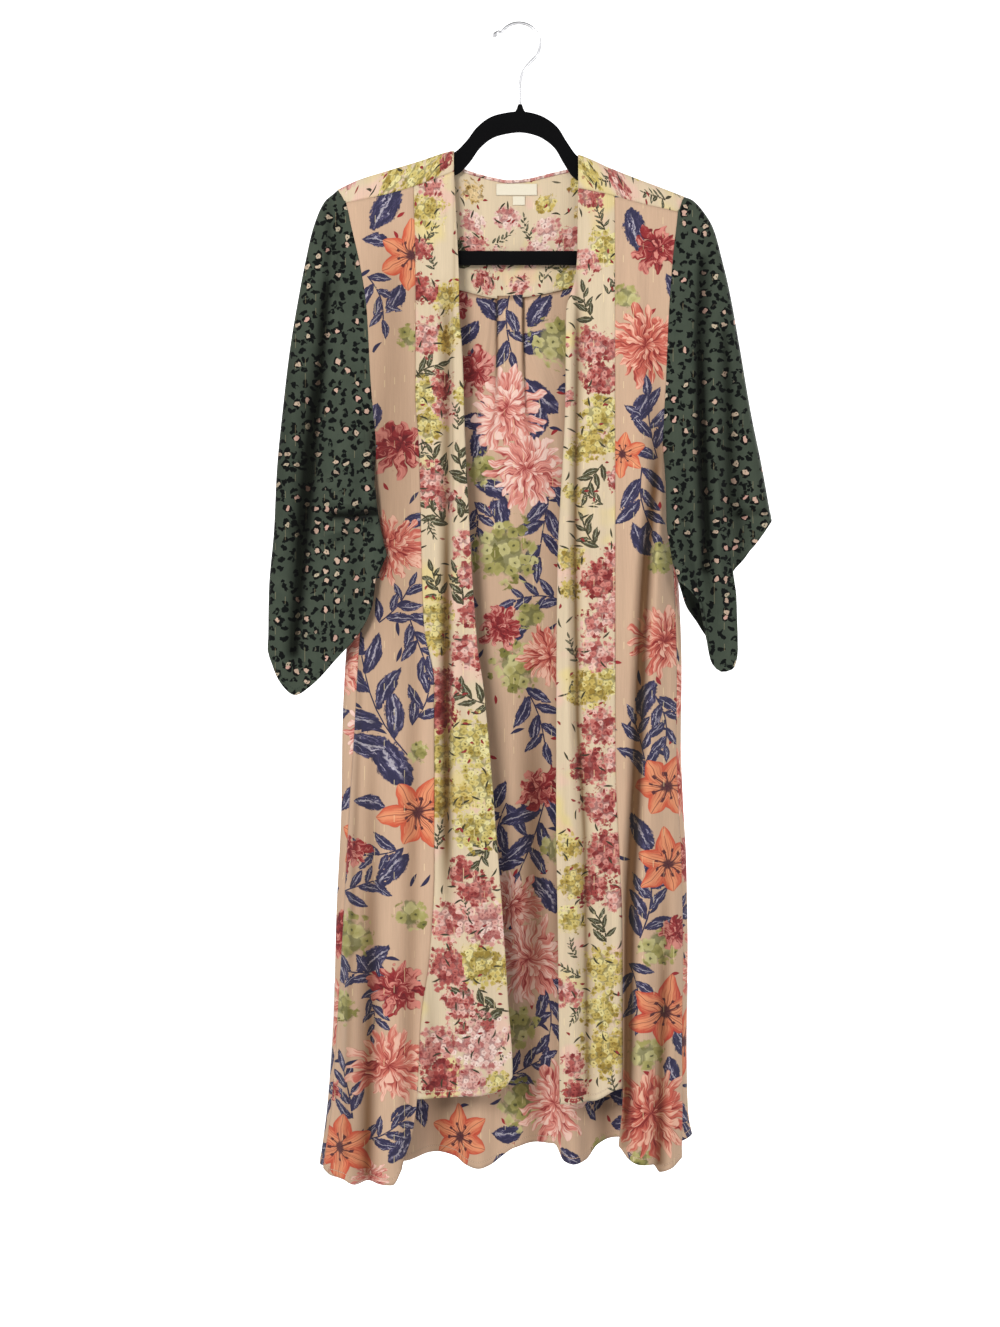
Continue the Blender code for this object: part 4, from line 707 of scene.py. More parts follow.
def yoke_back_point(x, drop):
    """A point of the yoke behind the neck: the sheet that the neckline is cut from falls from
    the shoulder line to the back seam."""
    ridge = curve(((NECK_LEFT, NECKLINE[0][1]), (NECK_RIGHT, NECKLINE[-1][1])), x)
    seam = curve(BACK_YOKE_SEAM, x)
    height = drop - ridge
    fall = [(0.0, 0.0)] + [(h, y) for y, h in reversed(WRAP[:3])]
    near = curve(fall, height)
    share = np.clip((height - WRAP[0][1]) / (seam - ridge - WRAP[0][1]), 0.0, 1.0)
    y = near + (back_depth(x, seam) - WRAP[0][0]) * share ** YOKE_FALL_POWER
    return np.stack([x, y, -drop], -1)


def yoke_neck(stations):
    """Grid of the yoke under the neck opening."""
    columns = []
    for x in stations:
        neck = curve(NECKLINE, x)
        seam = curve(BACK_YOKE_SEAM, x) - 0.5 * SEAM_GAP
        columns.append([yoke_back_point(np.array(x), np.array(seam + (neck - seam) * share))
                        for share in NECK_ROWS])
    return np.array(columns)


def pleat_columns():
    """Cloth distance from the pleat's middle, where that cloth lies when folded, and its depth
    once the three layers have opened into a slope."""
    right = ((0.0, 0.0, -1.0), (12.6, 12.6, -1.0), (14.6, 14.3, -0.5), (16.6, 12.6, 0.0),
             (26.0, 3.4, 0.0), (27.8, 1.9, 0.5), (29.8, 3.4, 1.0), (46.0, 19.6, 1.0))
    first = right[1][0]
    last = right[-2][0]
    right = [(q, x, y * PLEAT_LAYER,
              (2.0 * min(max((q - first) / (last - first), 0.0), 1.0) - 1.0) * PLEAT_LAYER)
             for q, x, y in right]
    left = [(-q, -x, y, slope) for q, x, y, slope in reversed(right[1:])]
    return left + right


def back_turn(side, row, shares):
    """The side of the back panel at one row, from its edge inwards. Above the underarm the edge
    is the armhole. Below it the cloth turns forward round the side to meet the front."""
    sign = side_sign(side)
    end = 0 if side == "left" else -1
    first = curve(BACK_YOKE_SEAM, BACK_YOKE_SEAM[end][0])
    last = curve(BACK_HEM, BACK_HEM[end][0])
    drop = first + (last - first) * row
    under = ARMHOLE[side][-1].drop
    turned = smooth((drop - under) / 70.0)
    edge_x, edge_y = edge_place(side, drop, "back")
    deep = curve(BACK_DEPTH, drop)
    away = -0.5 * ARM_GAP if drop < under else 1.2 * ARM_GAP
    start = np.array([edge_x + sign * away, edge_y])
    finish = np.array([edge_x - sign * ROLL, deep])
    middle = 0.5 * (start + finish)
    middle[1] = edge_y + (deep - edge_y) * np.sin(0.25 * np.pi)
    outline = curve(SIDE[side], drop, 3) - sign * 0.5 * WALL
    outermost = np.array([outline, 0.35 * edge_y + 0.65 * deep - 3.0])
    middle += (outermost - middle) * turned
    control = 2.0 * middle - 0.5 * (start + finish)
    return np.array([(1 - t) ** 2 * start + 2 * t * (1 - t) * control + t * t * finish
                     for t in shares])


def distance_to(line, x, drop):
    """Distance of points from a broken line."""
    best = np.full(x.shape, 1e9)
    for (x0, d0), (x1, d1) in zip(line[:-1], line[1:]):
        run = np.array([x1 - x0, d1 - d0], float)
        t = np.clip(((x - x0) * run[0] + (drop - d0) * run[1]) / (run @ run), 0.0, 1.0)
        best = np.minimum(best, np.hypot(x - x0 - run[0] * t, drop - d0 - run[1] * t))
    return best


def sleeve_layer(side, layer, v, t):
    """The front or back layer of a sleeve: v runs from armhole to hem, t from the outer fold
    to the underarm seam."""
    arm = ARMHOLE[side]
    sign = side_sign(side)
    rows = [(row.x, row.drop) for row in arm]
    arm_point = along(rows, t)
    arm_y = curve(arm, arm_point[:, 1], 2 if layer == "front" else 3)
    hem = along(FRONT_HEM[side] if layer == "front" else BACK_HEM_OF_SLEEVE[side], t)
    outer = along(SLEEVE_OUTER[side], v)
    inner = along(UNDERARM[side], v)
    v2 = v[:, None, None]
    t2 = t[None, :, None]
    ruled_ends = (1 - v2) * arm_point[None] + v2 * hem[None]
    ruled_sides = (1 - t2) * outer[:, None] + t2 * inner[:, None]
    corners = ((1 - v2) * (1 - t2) * arm_point[0] + (1 - v2) * t2 * arm_point[-1]
               + v2 * (1 - t2) * hem[0] + v2 * t2 * hem[-1])
    place = ruled_ends + ruled_sides - corners
    away = 0.5 * ARM_GAP + UNDERARM_ROOM * smooth((t - 0.80) / 0.18)[None, :]
    x = place[..., 0] + sign * away * (1.0 - v[:, None]) ** 4
    drop = place[..., 1]
    turn = smooth(t)[None, :]
    swing = curve(SLEEVE_SWING, v)[:, None] * turn
    outer_half = curve(SLEEVE_HALF_OUTER, v)[:, None]
    inner_half = curve(SLEEVE_HALF_INNER, v)[:, None]
    round_off = (np.sqrt(1.0 - (1.0 - np.clip(t / OUTER_TURN, 0, 1)) ** 2)
                 * np.sqrt(1.0 - (1.0 - np.clip((1.0 - t) / INNER_TURN, 0, 1)) ** 2))
    half = (outer_half + (inner_half - outer_half) * turn) * round_off[None, :]
    way = -1.0 if layer == "front" else 1.0
    free_y = swing + way * half
    leave = smooth(v / SLEEVE_CALM)[:, None]
    y = arm_y[None, :] * (1 - leave) + free_y * leave
    calm = leave * smooth(np.sin(np.pi * np.clip(t, 0, 1)) / 0.45)[None, :]
    for crease in SLEEVE_CREASES[side]:
        if crease.layer == layer:
            gap = distance_to(crease.line, x, drop)
            form = 0.7 * bump(gap, crease.width) + 0.3 * bump(gap, 0.45 * crease.width)
            y = y + crease.push * calm * form
    return np.stack([x, y, -drop], -1)


def value_noise(seed, u, v):
    """A soft random field between -1 and 1 with one bump for each unit."""
    i = np.floor(u).astype(int)
    j = np.floor(v).astype(int)
    fu = smooth(u - i)
    fv = smooth(v - j)

    def corner(a, b):
        mixed = np.sin((i + a) * 127.1 + (j + b) * 311.7 + seed * 74.7) * 43758.5453
        return 2.0 * (mixed - np.floor(mixed)) - 1.0

    top = corner(0, 0) * (1 - fu) + corner(1, 0) * fu
    low = corner(0, 1) * (1 - fu) + corner(1, 1) * fu
    return top * (1 - fv) + low * fv


def crinkle(seed, u, drop):
    """Height of the long soft crinkles that the cloth keeps from its crepe weave."""
    return (0.30 * value_noise(seed, u / 7.0, drop / 70.0)
            + 0.22 * value_noise(seed + 5, u / 3.6, drop / 34.0)
            + 0.55 * value_noise(seed + 9, u / 22.0, drop / 150.0))


def tuck(distance):
    """How far cloth sinks in at a seam."""
    return SEAM_TUCK * (1.0 - smooth(distance / SEAM_REACH))


def steps(middle, axis, wrap=False):
    """Lengths between neighbours of a grid, in millimetres."""
    gap = np.roll(middle, -1, axis=axis) - middle if wrap else np.diff(middle, axis=axis)
    return np.linalg.norm(gap, axis=-1)


def travelled(middle, axis, wrap=False):
    """Distance along the cloth from its first row or column, in millimetres."""
    return np.insert(np.cumsum(steps(middle, axis, wrap), axis=axis), 0, 0.0, axis=axis)


def flat_grid(middle, zero_x):
    """Places of the grid's points on the flat cloth, across and down, in millimetres. Across
    they start from the point of each row that is nearest to zero_x."""
    run = travelled(middle, 1)
    nearest = np.argmin(np.abs(middle[:, :, 0] - zero_x), axis=1)
    run = run - run[np.arange(len(run)), nearest][:, None] + zero_x
    return np.stack([run, -middle[:, :, 2]], -1)


Sheet = namedtuple("Sheet", "thing middle flat corners area")


def edges_of(quads):
    """Both ends of the four edges of each face."""
    return np.concatenate([quads[:, [k, (k + 1) % 4]] for k in range(4)])


def shell_faces(rows, columns, wide, wrap, keep):
    """Faces of a closed shell, whose outer points come before its inner ones: those of its outer
    layer, all of them, and for each corner the number of its place on the flat cloth, which has
    wide places in a row."""
    r, c = np.meshgrid(np.arange(rows - 1), np.arange(columns if wrap else columns - 1), indexing="ij")
    if keep is not None:
        r = r[keep]
        c = c[keep]
    r = r.ravel()
    c = c.ravel()
    right = (c + 1) % columns
    quads = np.stack([r * columns + c, r * columns + right,
                      (r + 1) * columns + right, (r + 1) * columns + c], -1)
    marks = np.stack([r * wide + c, r * wide + c + 1, (r + 1) * wide + c + 1, (r + 1) * wide + c], -1)
    count = rows * columns
    edges = edges_of(quads)
    key = edges.min(axis=1).astype(np.int64) * count + edges.max(axis=1)
    _, index, uses = np.unique(key, return_index=True, return_counts=True)
    rim = index[uses == 1]
    a, b = edges[rim].T
    mark_a, mark_b = edges_of(marks)[rim].T
    faces = np.concatenate([quads, count + quads[:, ::-1], np.stack([b, a, count + a, count + b], -1)])
    face_marks = np.concatenate([marks, marks[:, ::-1],
                                 np.stack([mark_b, mark_a, mark_a, mark_b], -1)])
    return quads, faces, face_marks


def quad_thing(name, vertices, faces):
    """An object of four-cornered faces, given in millimetres, without the points in no face."""
    used, inverse = np.unique(faces, return_inverse=True)
    mesh = bpy.data.meshes.new(name)
    mesh.vertices.add(len(used))
    mesh.vertices.foreach_set("co", (vertices[used] * MM).astype(np.float32).ravel())
    mesh.loops.add(faces.size)
    mesh.loops.foreach_set("vertex_index", inverse.astype(np.int32).ravel())
    mesh.polygons.add(len(faces))
    mesh.polygons.foreach_set("loop_start", np.arange(0, faces.size, 4, dtype=np.int32))
    mesh.update(calc_edges=True)
    mesh.validate()
    return placed_mesh(name, mesh)


def placed_mesh(name, mesh):
    """A smooth object of a mesh, in the scene."""
    mesh.shade_smooth()
    thing = bpy.data.objects.new(name, mesh)
    bpy.context.scene.collection.objects.link(thing)
    return thing


def shell(name, middle, flat, thick, normals, shade=0.0, hem=None, wrap=False, keep=None, print_at=None):
    """A closed thin shell of cloth round a grid of middle points. It keeps for each face corner
    its place in the print, which is that on the flat cloth unless print_at is given, how much
    painted shade its folds and dark lines give it, and its distance from the hem with its place along it."""
    rows, columns = middle.shape[:2]
    half = 0.5 * np.broadcast_to(thick, (rows, columns))[..., None]
    vertices = np.concatenate([(middle + normals * half).reshape(-1, 3),
                               (middle - normals * half).reshape(-1, 3)])
    quads, faces, face_marks = shell_faces(rows, columns, flat.shape[1], wrap, keep)
    thing = quad_thing(name, vertices, faces)
    mesh = thing.data
    place = flat if print_at is None else print_at
    corners = place.reshape(-1, 2)[face_marks]
    torn = np.ptp(corners[..., 0], axis=1) > PRINT_SEAM
    corners[torn, :, 0] = corners[torn, :, 0].max(axis=1, keepdims=True)
    keep_corners(mesh, "cloth_at", corners * MM)
    # painted shade of each face corner
    depth = np.broadcast_to(shade, flat.shape[:2]).ravel()[face_marks]
    layer = mesh.attributes.new("shade", "FLOAT", "CORNER")
    layer.data.foreach_set("value", depth.astype(np.float32).ravel())
    if hem is not None:
        keep_corners(mesh, "hem_at", np.stack([hem, place[..., 0]], -1).reshape(-1, 2)[face_marks])
    spots = middle.reshape(-1, 3)[quads]
    area = 0.5 * np.linalg.norm(np.cross(spots[:, 2] - spots[:, 0], spots[:, 3] - spots[:, 1]), axis=-1)
    return Sheet(thing, middle, flat, corners, float(area.sum()) * MM * MM)


def keep_corners(mesh, name, places):
    """Stores a flat place, and a third number if there is one, for each face corner."""
    values = np.zeros((places.shape[0] * places.shape[1], 3), np.float32)
    values[:, :places.shape[-1]] = places.reshape(-1, places.shape[-1])
    layer = mesh.attributes.new(name, "FLOAT_VECTOR", "CORNER")
    layer.data.foreach_set("vector", values.ravel())


def carry(sheet, node):
    """The piece stands for its solid and rides on the one body."""
    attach(sheet.thing, "root")
    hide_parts(node)


def edge_distance(middle):
    """Distance of each point from the left and right edges and from the top and bottom."""
    run = travelled(middle, 1)
    fall = travelled(middle, 0)
    return run, run[:, -1:] - run, fall, fall[-1:] - fall


def hem_thickness(*distances):
    """Thickness of the cloth: doubled where an edge is turned and stitched."""
    nearest = np.minimum.reduce(distances)
    return THIN + (HEM_THICK - THIN) * (1.0 - smooth((nearest - HEM_WIDE) / HEM_STEP))


def dark_lines(lines, x, drop):
    """How much painted shade the lines give each point, from 0 to 1."""
    total = np.zeros_like(x)
    for line in lines:
        rows = np.array(line, float)
        upright = np.ptp(rows[:, 1]) > np.ptp(rows[:, 0])
        run, across = (drop, x) if upright else (x, drop)
        rows = rows[np.argsort(rows[:, 1 if upright else 0])]
        key, other = (rows[:, 1], rows[:, 0]) if upright else (rows[:, 0], rows[:, 1])
        depth = np.interp(run, key, rows[:, 3], left=0.0, right=0.0)
        gap = (across - np.interp(run, key, other)) / np.interp(run, key, rows[:, 2])
        total = np.maximum(total, depth * np.exp(-gap ** 2))
    return total


def front_shade(side, x, drop):
    """How much painted shade a point of a front gets from its folds and dark lines, from 0 to 1."""
    shade = np.zeros_like(x)
    for fold in FRONT_FOLDS[side]:
        if fold.push > 0.0:
            near = bump(x - curve(fold.line, drop), 0.9 * fold.width)
            shade += fold.push / DEEPEST * fold_grown(fold, drop) * near ** 1.5
    return np.clip(0.6 * shade + dark_lines(FRONT_DARK[side], x, drop), 0.0, 1.0)


def front_cloth(name, side, x, drop, middle, thick, hem):
    """A shell of one of the front's panels, whose normals are the same on both sides of a seam."""
    return shell(name + side + "_cloth", middle, np.stack([x, drop], -1), thick,
                 front_normals(side, x, drop), shade=front_shade(side, x, drop), hem=hem)


def make_side_front(side):
    """The outer front panel, from the armhole and side seam to the band's seam."""
    sign = side_sign(side)
    x, drop = fit_grid(
        FRONT_COLUMNS,
        lambda d: edge_place(side, d, "front")[0] - sign * 0.5 * THIN,
        lambda d: curve(BAND_SEAM[side], d) + sign * SEAM_CLOSED,
        lambda a: curve(FRONT_YOKE_SEAM[side], a) + SEAM_CLOSED,
        lambda a: curve(SIDE_HEM[side], a))
    middle = front_point(side, x, drop)
    arm, band, top, hem = edge_distance(middle)
    middle[..., 1] += tuck(band) + tuck(top) + crinkle(1, x, drop) * smooth(arm / ARM_CALM)
    return front_cloth("side_front_", side, x, drop, middle, hem_thickness(hem), hem)


def front_normals(side, x, drop):
    """Normals of the front, the same on both sides of a seam."""
    across = front_point(side, x + 1.0, drop) - front_point(side, x - 1.0, drop)
    down = front_point(side, x, drop + 1.0) - front_point(side, x, drop - 1.0)
    return unit(np.cross(down, across))


def make_band(side):
    """The front band, from its seam to the free edge."""
    sign = side_sign(side)
    x, drop = fit_grid(
        BAND_COLUMNS,
        lambda d: curve(BAND_SEAM[side], d) - sign * SEAM_CLOSED,
        lambda d: curve(FREE_EDGE[side], d),
        lambda a: curve(FRONT_YOKE_SEAM[side], a) + SEAM_CLOSED,
        lambda a: curve(BAND_HEM[side], a))
    middle = front_point(side, x, drop)
    seam, free, top, hem = edge_distance(middle)
    middle[..., 1] += tuck(seam) + tuck(top) + crinkle(2, x, drop)
    return front_cloth("front_band_", side, x, drop, middle,
                       hem_thickness(hem, free + FREE_HEM_LESS), hem)


def between_points(p0, p1, p2, p3, t):
    """A smooth line from p1 to p2, which also heeds the points before and after."""
    return 0.5 * (2 * p1 + (p2 - p0) * t + (2 * p0 - 5 * p1 + 4 * p2 - p3) * t ** 2
                  + (3 * p1 - p0 - 3 * p2 + p3) * t ** 3)


def refined(grid, parts):
    """The grid with each step between rows cut into parts, on smooth lines through its rows."""
    rows = grid.shape[0]
    at = np.linspace(0, rows - 1, (rows - 1) * parts + 1)
    i = np.clip(at.astype(int), 0, rows - 2)
    return between_points(grid[np.maximum(i - 1, 0)], grid[i], grid[i + 1],
                          grid[np.minimum(i + 2, rows - 1)], (at - i)[:, None, None])


def make_yoke():
    """The back yoke, whose wings run over the shoulders to the front seams."""
    shares = np.linspace(0, 1, YOKE_WING_COLUMNS)
    inside = np.linspace(NECK_LEFT, NECK_RIGHT, YOKE_NECK_COLUMNS + 2)[1:-1]
    stations = np.unique(np.round(np.concatenate([NECK_STATIONS, inside]), 1))
    stations = stations[(stations > NECK_LEFT + 0.3) & (stations < NECK_RIGHT - 0.3)]
    parts = YOKE_ROW_PARTS
    left = refined(yoke_wing("left", shares).swapaxes(0, 1), parts)
    right = refined(yoke_wing("right", shares)[::-1].swapaxes(0, 1), parts)
    neck = refined(yoke_neck(stations).swapaxes(0, 1), parts)
    neck = np.concatenate([neck, np.repeat(neck[-1:], left.shape[0] - neck.shape[0], axis=0)])
    grid = np.concatenate([left, neck, right], axis=1)
    first = left.shape[1] - 1
    last = first + neck.shape[1] + 1
    top_row = TOP_ROW * parts
    normals = upright_normals(grid)
    normals[:top_row + 1, first + 1:last] = upright_normals(neck[:top_row + 1])
    keep = np.ones((grid.shape[0] - 1, grid.shape[1] - 1), bool)
    keep[top_row:, first:last] = False
    fall = travelled(grid, 0)
    whole = fall[-1].copy()
    whole[first + 1:last] = NO_FRONT
    inward = -np.sign(normals[..., 1:2] * grid[..., 1:2])
    grid = grid + normals * (tuck(fall) + tuck(whole[None, :] - fall))[..., None] * inward
    flat = np.stack([grid[..., 0], -fall], -1)
    return shell("back_yoke_cloth", grid, flat, THIN, normals, keep=keep)


def on_yoke(name, middle, normals, lift, thick):
    """A narrow piece that lies on the inside of the yoke."""
    normals = normals * -np.sign(normals[..., 1:2])
    middle = middle + normals * lift
    flat = np.stack([travelled(middle, 1), travelled(middle, 0)], -1)
    return shell(name, middle, flat, thick, normals)


def make_label(node):
    """A blank woven label."""
    left, right, top, bottom = LABELS[node]
    x, drop = np.meshgrid(np.linspace(left, right, LABEL_COLUMNS), np.linspace(top, bottom, LABEL_ROWS))
    middle = yoke_back_point(x, drop)
    return on_yoke(node + "_cloth", middle, normals_of(middle), LABEL_LIFT, LABEL_CLOTH)


def make_binding():
    """The narrow binding along the back neckline."""
    stations = np.linspace(BINDING_STATIONS[0], BINDING_STATIONS[-1], BINDING_COLUMNS)
    rows = yoke_neck(stations).swapaxes(0, 1)
    normals = upright_normals(rows)
    rows = refined(rows[-3:], BINDING_PARTS)[BINDING_PARTS:]
    normals = np.repeat(normals[-1:], rows.shape[0], axis=0)
    return on_yoke("neck_binding_cloth", rows, normals, BINDING_LIFT, BINDING_CLOTH)


def smooth_loop(points):
    """A closed line through the points, with smooth stations between them."""
    around = [np.roll(points, shift, axis=0)[:, None] for shift in (1, 0, -1, -2)]
    return between_points(*around, np.arange(RIM_PARTS)[None, :, None] / RIM_PARTS).reshape(-1, 2)


def hanger_rims():
    """Outer and inner rims of the hanger as (x, drop), with stations that face each other."""
    outer = {}
    inner = {}
    for side, neck_x, sign in (("left", NECK_LEFT, -1.0), ("right", NECK_RIGHT, 1.0)):
        arm = list(HANGER_ARCH[side])
        arm += [(x, curve(SHOULDER, x) + ARM_SEAT)
                for x in np.linspace(neck_x, ARM_END[side], ARM_STATIONS)]
        outer[side] = arm + list(OUTER_END[side]) + [(sign * BAR_END, BAR_BOTTOM)]
        inner[side] = [(sign * min(sign * x * ARM_TAPER, INNER_LIMIT[side]), drop + ARM_HIGH)
                       for x, drop in arm] + list(INNER_END[side])
    bar = np.linspace(BAR_MIDDLE - BAR_END, BAR_END - BAR_MIDDLE, BAR_STATIONS)
    rims = [rim["left"] + [(x, drop) for x in bar] + rim["right"][::-1]
            for rim, drop in ((outer, BAR_BOTTOM), (inner, BAR_TOP))]
    return [smooth_loop(np.array(rim)) for rim in rims]


def ring_faces(rings, sides, start=0, closed=False):
    """Faces between rings of points that follow each other; closed joins the last to the first."""
    faces = []
    for i in range(rings if closed else rings - 1):
        low = start + i * sides
        high = start + (i + 1) % rings * sides
        for k in range(sides):
            nxt = (k + 1) % sides
            faces.append((low + k, low + nxt, high + nxt, high + k))
    return faces


def hanger_body():
    """Points of the flat hanger with rounded edges: a ring at each station of its rims."""
    outer, inner = hanger_rims()
    run = unit(inner - outer)
    flat_half = HANGER_HALF - HANGER_ROUNDING
    edge = [(way * flat_half + HANGER_ROUNDING * math.sin(math.radians(turn)),
             HANGER_ROUNDING * (1.0 - math.cos(math.radians(turn))))
            for way, turns in ((-1.0, (-90, -60, -30, 0)), (1.0, (0, 30, 60, 90))) for turn in turns]
    rings = []
    for rim, way, points in ((outer, 1.0, edge), (inner, -1.0, edge[::-1])):
        for depth, inset in points:
            spot = rim + way * run * inset
            rings.append(np.stack([spot[:, 0], np.full(len(rim), depth), -spot[:, 1]], -1))
    return np.stack(rings, axis=1)


def make_hanger():
    """The flat hanger, and the hub that flares up from it to the hook's stem."""
    body = hanger_body()
    vertices = list(body.reshape(-1, 3))
    faces = ring_faces(*body.shape[:2], closed=True)
    start = len(vertices)
    for drop, wide, deep in HUB:
        for turn in np.linspace(0, TAU, HUB_SIDES, endpoint=False):
            vertices.append((STEM_X + wide * math.cos(turn), deep * math.sin(turn), -drop))
    faces += ring_faces(len(HUB), HUB_SIDES, start)
    for cap in (start, len(vertices) - HUB_SIDES):
        faces.append(tuple(range(cap, cap + HUB_SIDES)))
    mesh = bpy.data.meshes.new(HANGER)
    mesh.from_pydata([[MM * value for value in vertex] for vertex in vertices], [], faces)
    solid = bmesh.new()
    solid.from_mesh(mesh)
    bmesh.ops.recalc_face_normals(solid, faces=solid.faces)
    solid.to_mesh(mesh)
    solid.free()
    mesh.materials.append(black_flock())
    hanger = placed_mesh(HANGER, mesh)
    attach(hanger, "root")
    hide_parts("hanger_body")


def back_rows():
    """x and depth of each row of the back from left to right, and where the depth of the folds
    and of the back as a whole still has to be added: 1, or 0 where the sides turn forward."""
    pleat = np.array(pleat_columns())
    stations = pleat[:, 0]
    cloth_half = stations[-1]
    folded_half = cloth_half - PLEAT_TAKE_UP
    fine = np.unique(np.concatenate([stations, np.linspace(-cloth_half, cloth_half, PLEAT_COLUMNS)]))
    folded_x, folded_y, open_y = (np.interp(fine, stations, pleat[:, column]) for column in (1, 2, 3))
    side_share = np.linspace(0, 1, BACK_SIDE_COLUMNS + 1)[:-1]
    turn_share = np.linspace(0, 1, TURN_COLUMNS)
    flat_side = np.zeros(BACK_SIDE_COLUMNS)
    xs = []
    depths = []
    for row in np.linspace(0, 1, BACK_ROWS):
        left = back_turn("left", row, turn_share)
        right = back_turn("right", row, turn_share)[::-1]
        drop = BACK_START + BACK_LENGTH * row
        folded = 1.0 - smooth((drop - PLEAT_TOP) / (PLEAT_END - PLEAT_TOP))
        layered = smooth((folded - PLEAT_LIFTS) / PLEAT_LIFT_SPAN)
        half = folded_half + (PLEAT_SPREAD * cloth_half - folded_half) * (1.0 - folded)
        reach_left = PLEAT_X - half - left[-1][0]
        reach_right = right[0][0] - PLEAT_X - half
        pleat_y = (folded_y * layered + open_y * (1.0 - layered)) * min(1.0, PLEAT_FLATTENS * folded)
        xs.append(np.concatenate([
            left[:-1, 0], left[-1][0] + reach_left * side_share,
            PLEAT_X + folded_x * folded + fine * PLEAT_SPREAD * (1.0 - folded),
            right[0][0] - reach_right * side_share[::-1], right[1:, 0]]))
        depths.append(np.concatenate([left[:-1, 1], flat_side, pleat_y, flat_side, right[1:, 1]]))
    level = np.ones(len(xs[0]))
    level[:TURN_COLUMNS - 1] = 0.0
    level[1 - TURN_COLUMNS:] = 0.0
    return np.array(xs), np.array(depths), level


def back_shade(x, drop, top):
    """How much painted shade a point of the back gets, from 0 to 1: at the pleat's edges, in its folds,
    under the yoke's seam and along its dark lines.
    """
    pleated = 1.0 - smooth((drop - PLEAT_DARK_TOP) / PLEAT_DARK_FADE)
    shade = pleated * bump(np.abs(x - PLEAT_X) - PLEAT_EDGE, 3.0)
    shade += 0.5 * np.clip(sum(bump(x - curve(fold.line, drop), 0.8 * fold.width) * fold_grown(fold, drop)
                               for fold in BACK_FOLDS if fold.push > 0.0), 0.0, 1.0)
    # painted shade under the yoke's seam, where the panel runs up behind it, and along the dark lines
    shade += 0.55 * (1.0 - smooth((top - SEAM_LAP) / 4.0)) + dark_lines(BACK_DARK, x, drop)
    return np.clip(shade, 0.0, 1.0)


def make_back_panel():
    """The back, turned forward at both sides to its seams, with the box pleat under the yoke."""
    x, y, level = back_rows()
    row = np.linspace(0, 1, BACK_ROWS)[:, None]
    first = curve(BACK_YOKE_SEAM, x) - SEAM_LAP
    last = curve(BACK_HEM, x)
    drop = first + (last - first) * row
    inset = np.minimum(x - x[:, TURN_COLUMNS - 1, None], x[:, -TURN_COLUMNS, None] - x)
    push, _ = fold_shift(BACK_FOLDS, x, drop)
    y = y + level * (curve(BACK_DEPTH, drop) + push * smooth(inset / BACK_CALM))
    middle = np.stack([x, y, -drop], -1)
    left_edge, right_edge, top, hem = edge_distance(middle)
    near = np.minimum(left_edge, right_edge)
    lap = LAP_DEPTH * (1.0 - smooth(top / (3.0 * SEAM_LAP)))
    middle[..., 1] += crinkle(3, x, drop) * smooth(near / CRINKLE_CALM) + lap
    return shell("back_panel_cloth", middle, flat_grid(middle, PLEAT_X), hem_thickness(hem),
                 normals_of(middle), shade=back_shade(x, drop, top), hem=hem)


def sleeve_shade(side, x, drop, in_front):
    """How much painted shade a point of a sleeve gets from its creases and dark lines, from 0 to 1."""
    shade = np.zeros(x.shape)
    for crease in SLEEVE_CREASES[side]:
        if crease.push > 0.0:
            near = bump(distance_to(crease.line, x, drop), 0.8 * crease.width)
            on_layer = in_front == (crease.layer == "front")
            shade += 0.5 * crease.push / DEEPEST * near ** 1.5 * on_layer
    shade += dark_lines(SLEEVE_DARK[side], x, drop) * in_front
    shade += dark_lines(SLEEVE_INSIDE_DARK[side], x, drop) * ~in_front
    return np.clip(shade, 0.0, 1.0)


def make_sleeve(side):
    """One wide sleeve: an open tube from the armhole to its hem."""
    v = np.linspace(0, 1, SLEEVE_ROWS)
    even = np.linspace(0, 1, SLEEVE_COLUMNS)
    t = 0.55 * even + 0.45 * np.interp(even, np.linspace(0, 1, len(SLEEVE_ROUND)), SLEEVE_ROUND)
    front = sleeve_layer(side, "front", v, t)
    back = sleeve_layer(side, "back", v, t)
    ring = np.concatenate([front, back[:, -2:0:-1]], axis=1)
    run = travelled(ring, 1, wrap=True)
    fall = travelled(ring, 0)
    down = fall[:, len(t) // 2, None]
    flat = np.stack([run, np.repeat(down, run.shape[1], axis=1)], -1)
    hem = fall[-1:] - fall
    normals = normals_of(ring, True)
    ripple = 0.5 * crinkle(4, run[:, :-1], down) * smooth(fall / CRINKLE_CALM)
    ring = ring + normals * ripple[..., None]
    columns = np.arange(ring.shape[1] + 1) % ring.shape[1]
    in_front = np.arange(len(columns)) < len(t)
    x = ring[:, columns, 0]
    drop = -ring[:, columns, 2]
    fold_x = curve([(low, out) for out, low in SLEEVE_OUTER[side]], drop)
    print_at = np.stack([np.where(in_front, x, 2.0 * fold_x - x), drop], -1)
    return shell("sleeve_" + side + "_cloth", ring, flat, hem_thickness(hem), normals,
                 shade=sleeve_shade(side, x, drop, in_front), hem=hem[:, columns],
                 wrap=True, print_at=print_at)


# Printing. A motif is drawn by nodes in its own place: x and y run from -1 to 1 over its reach.
# Each face keeps the place of the motif that covers it, one for each layer of the print.
Placed = namedtuple("Placed", "u v wide long turn tone seed")
NOWHERE = 9.0
SMALL_SPRAY = 21.0         # a spray that reaches less far has more and narrower leaves
CLUSTER_GROWTH = 1.35      # the ragged rims of the small clusters run into each other
LEAF_GROWTH = 1.2
FACE_REACH = 2.5           # half a face's diagonal, so that no motif is cut at a face's edge


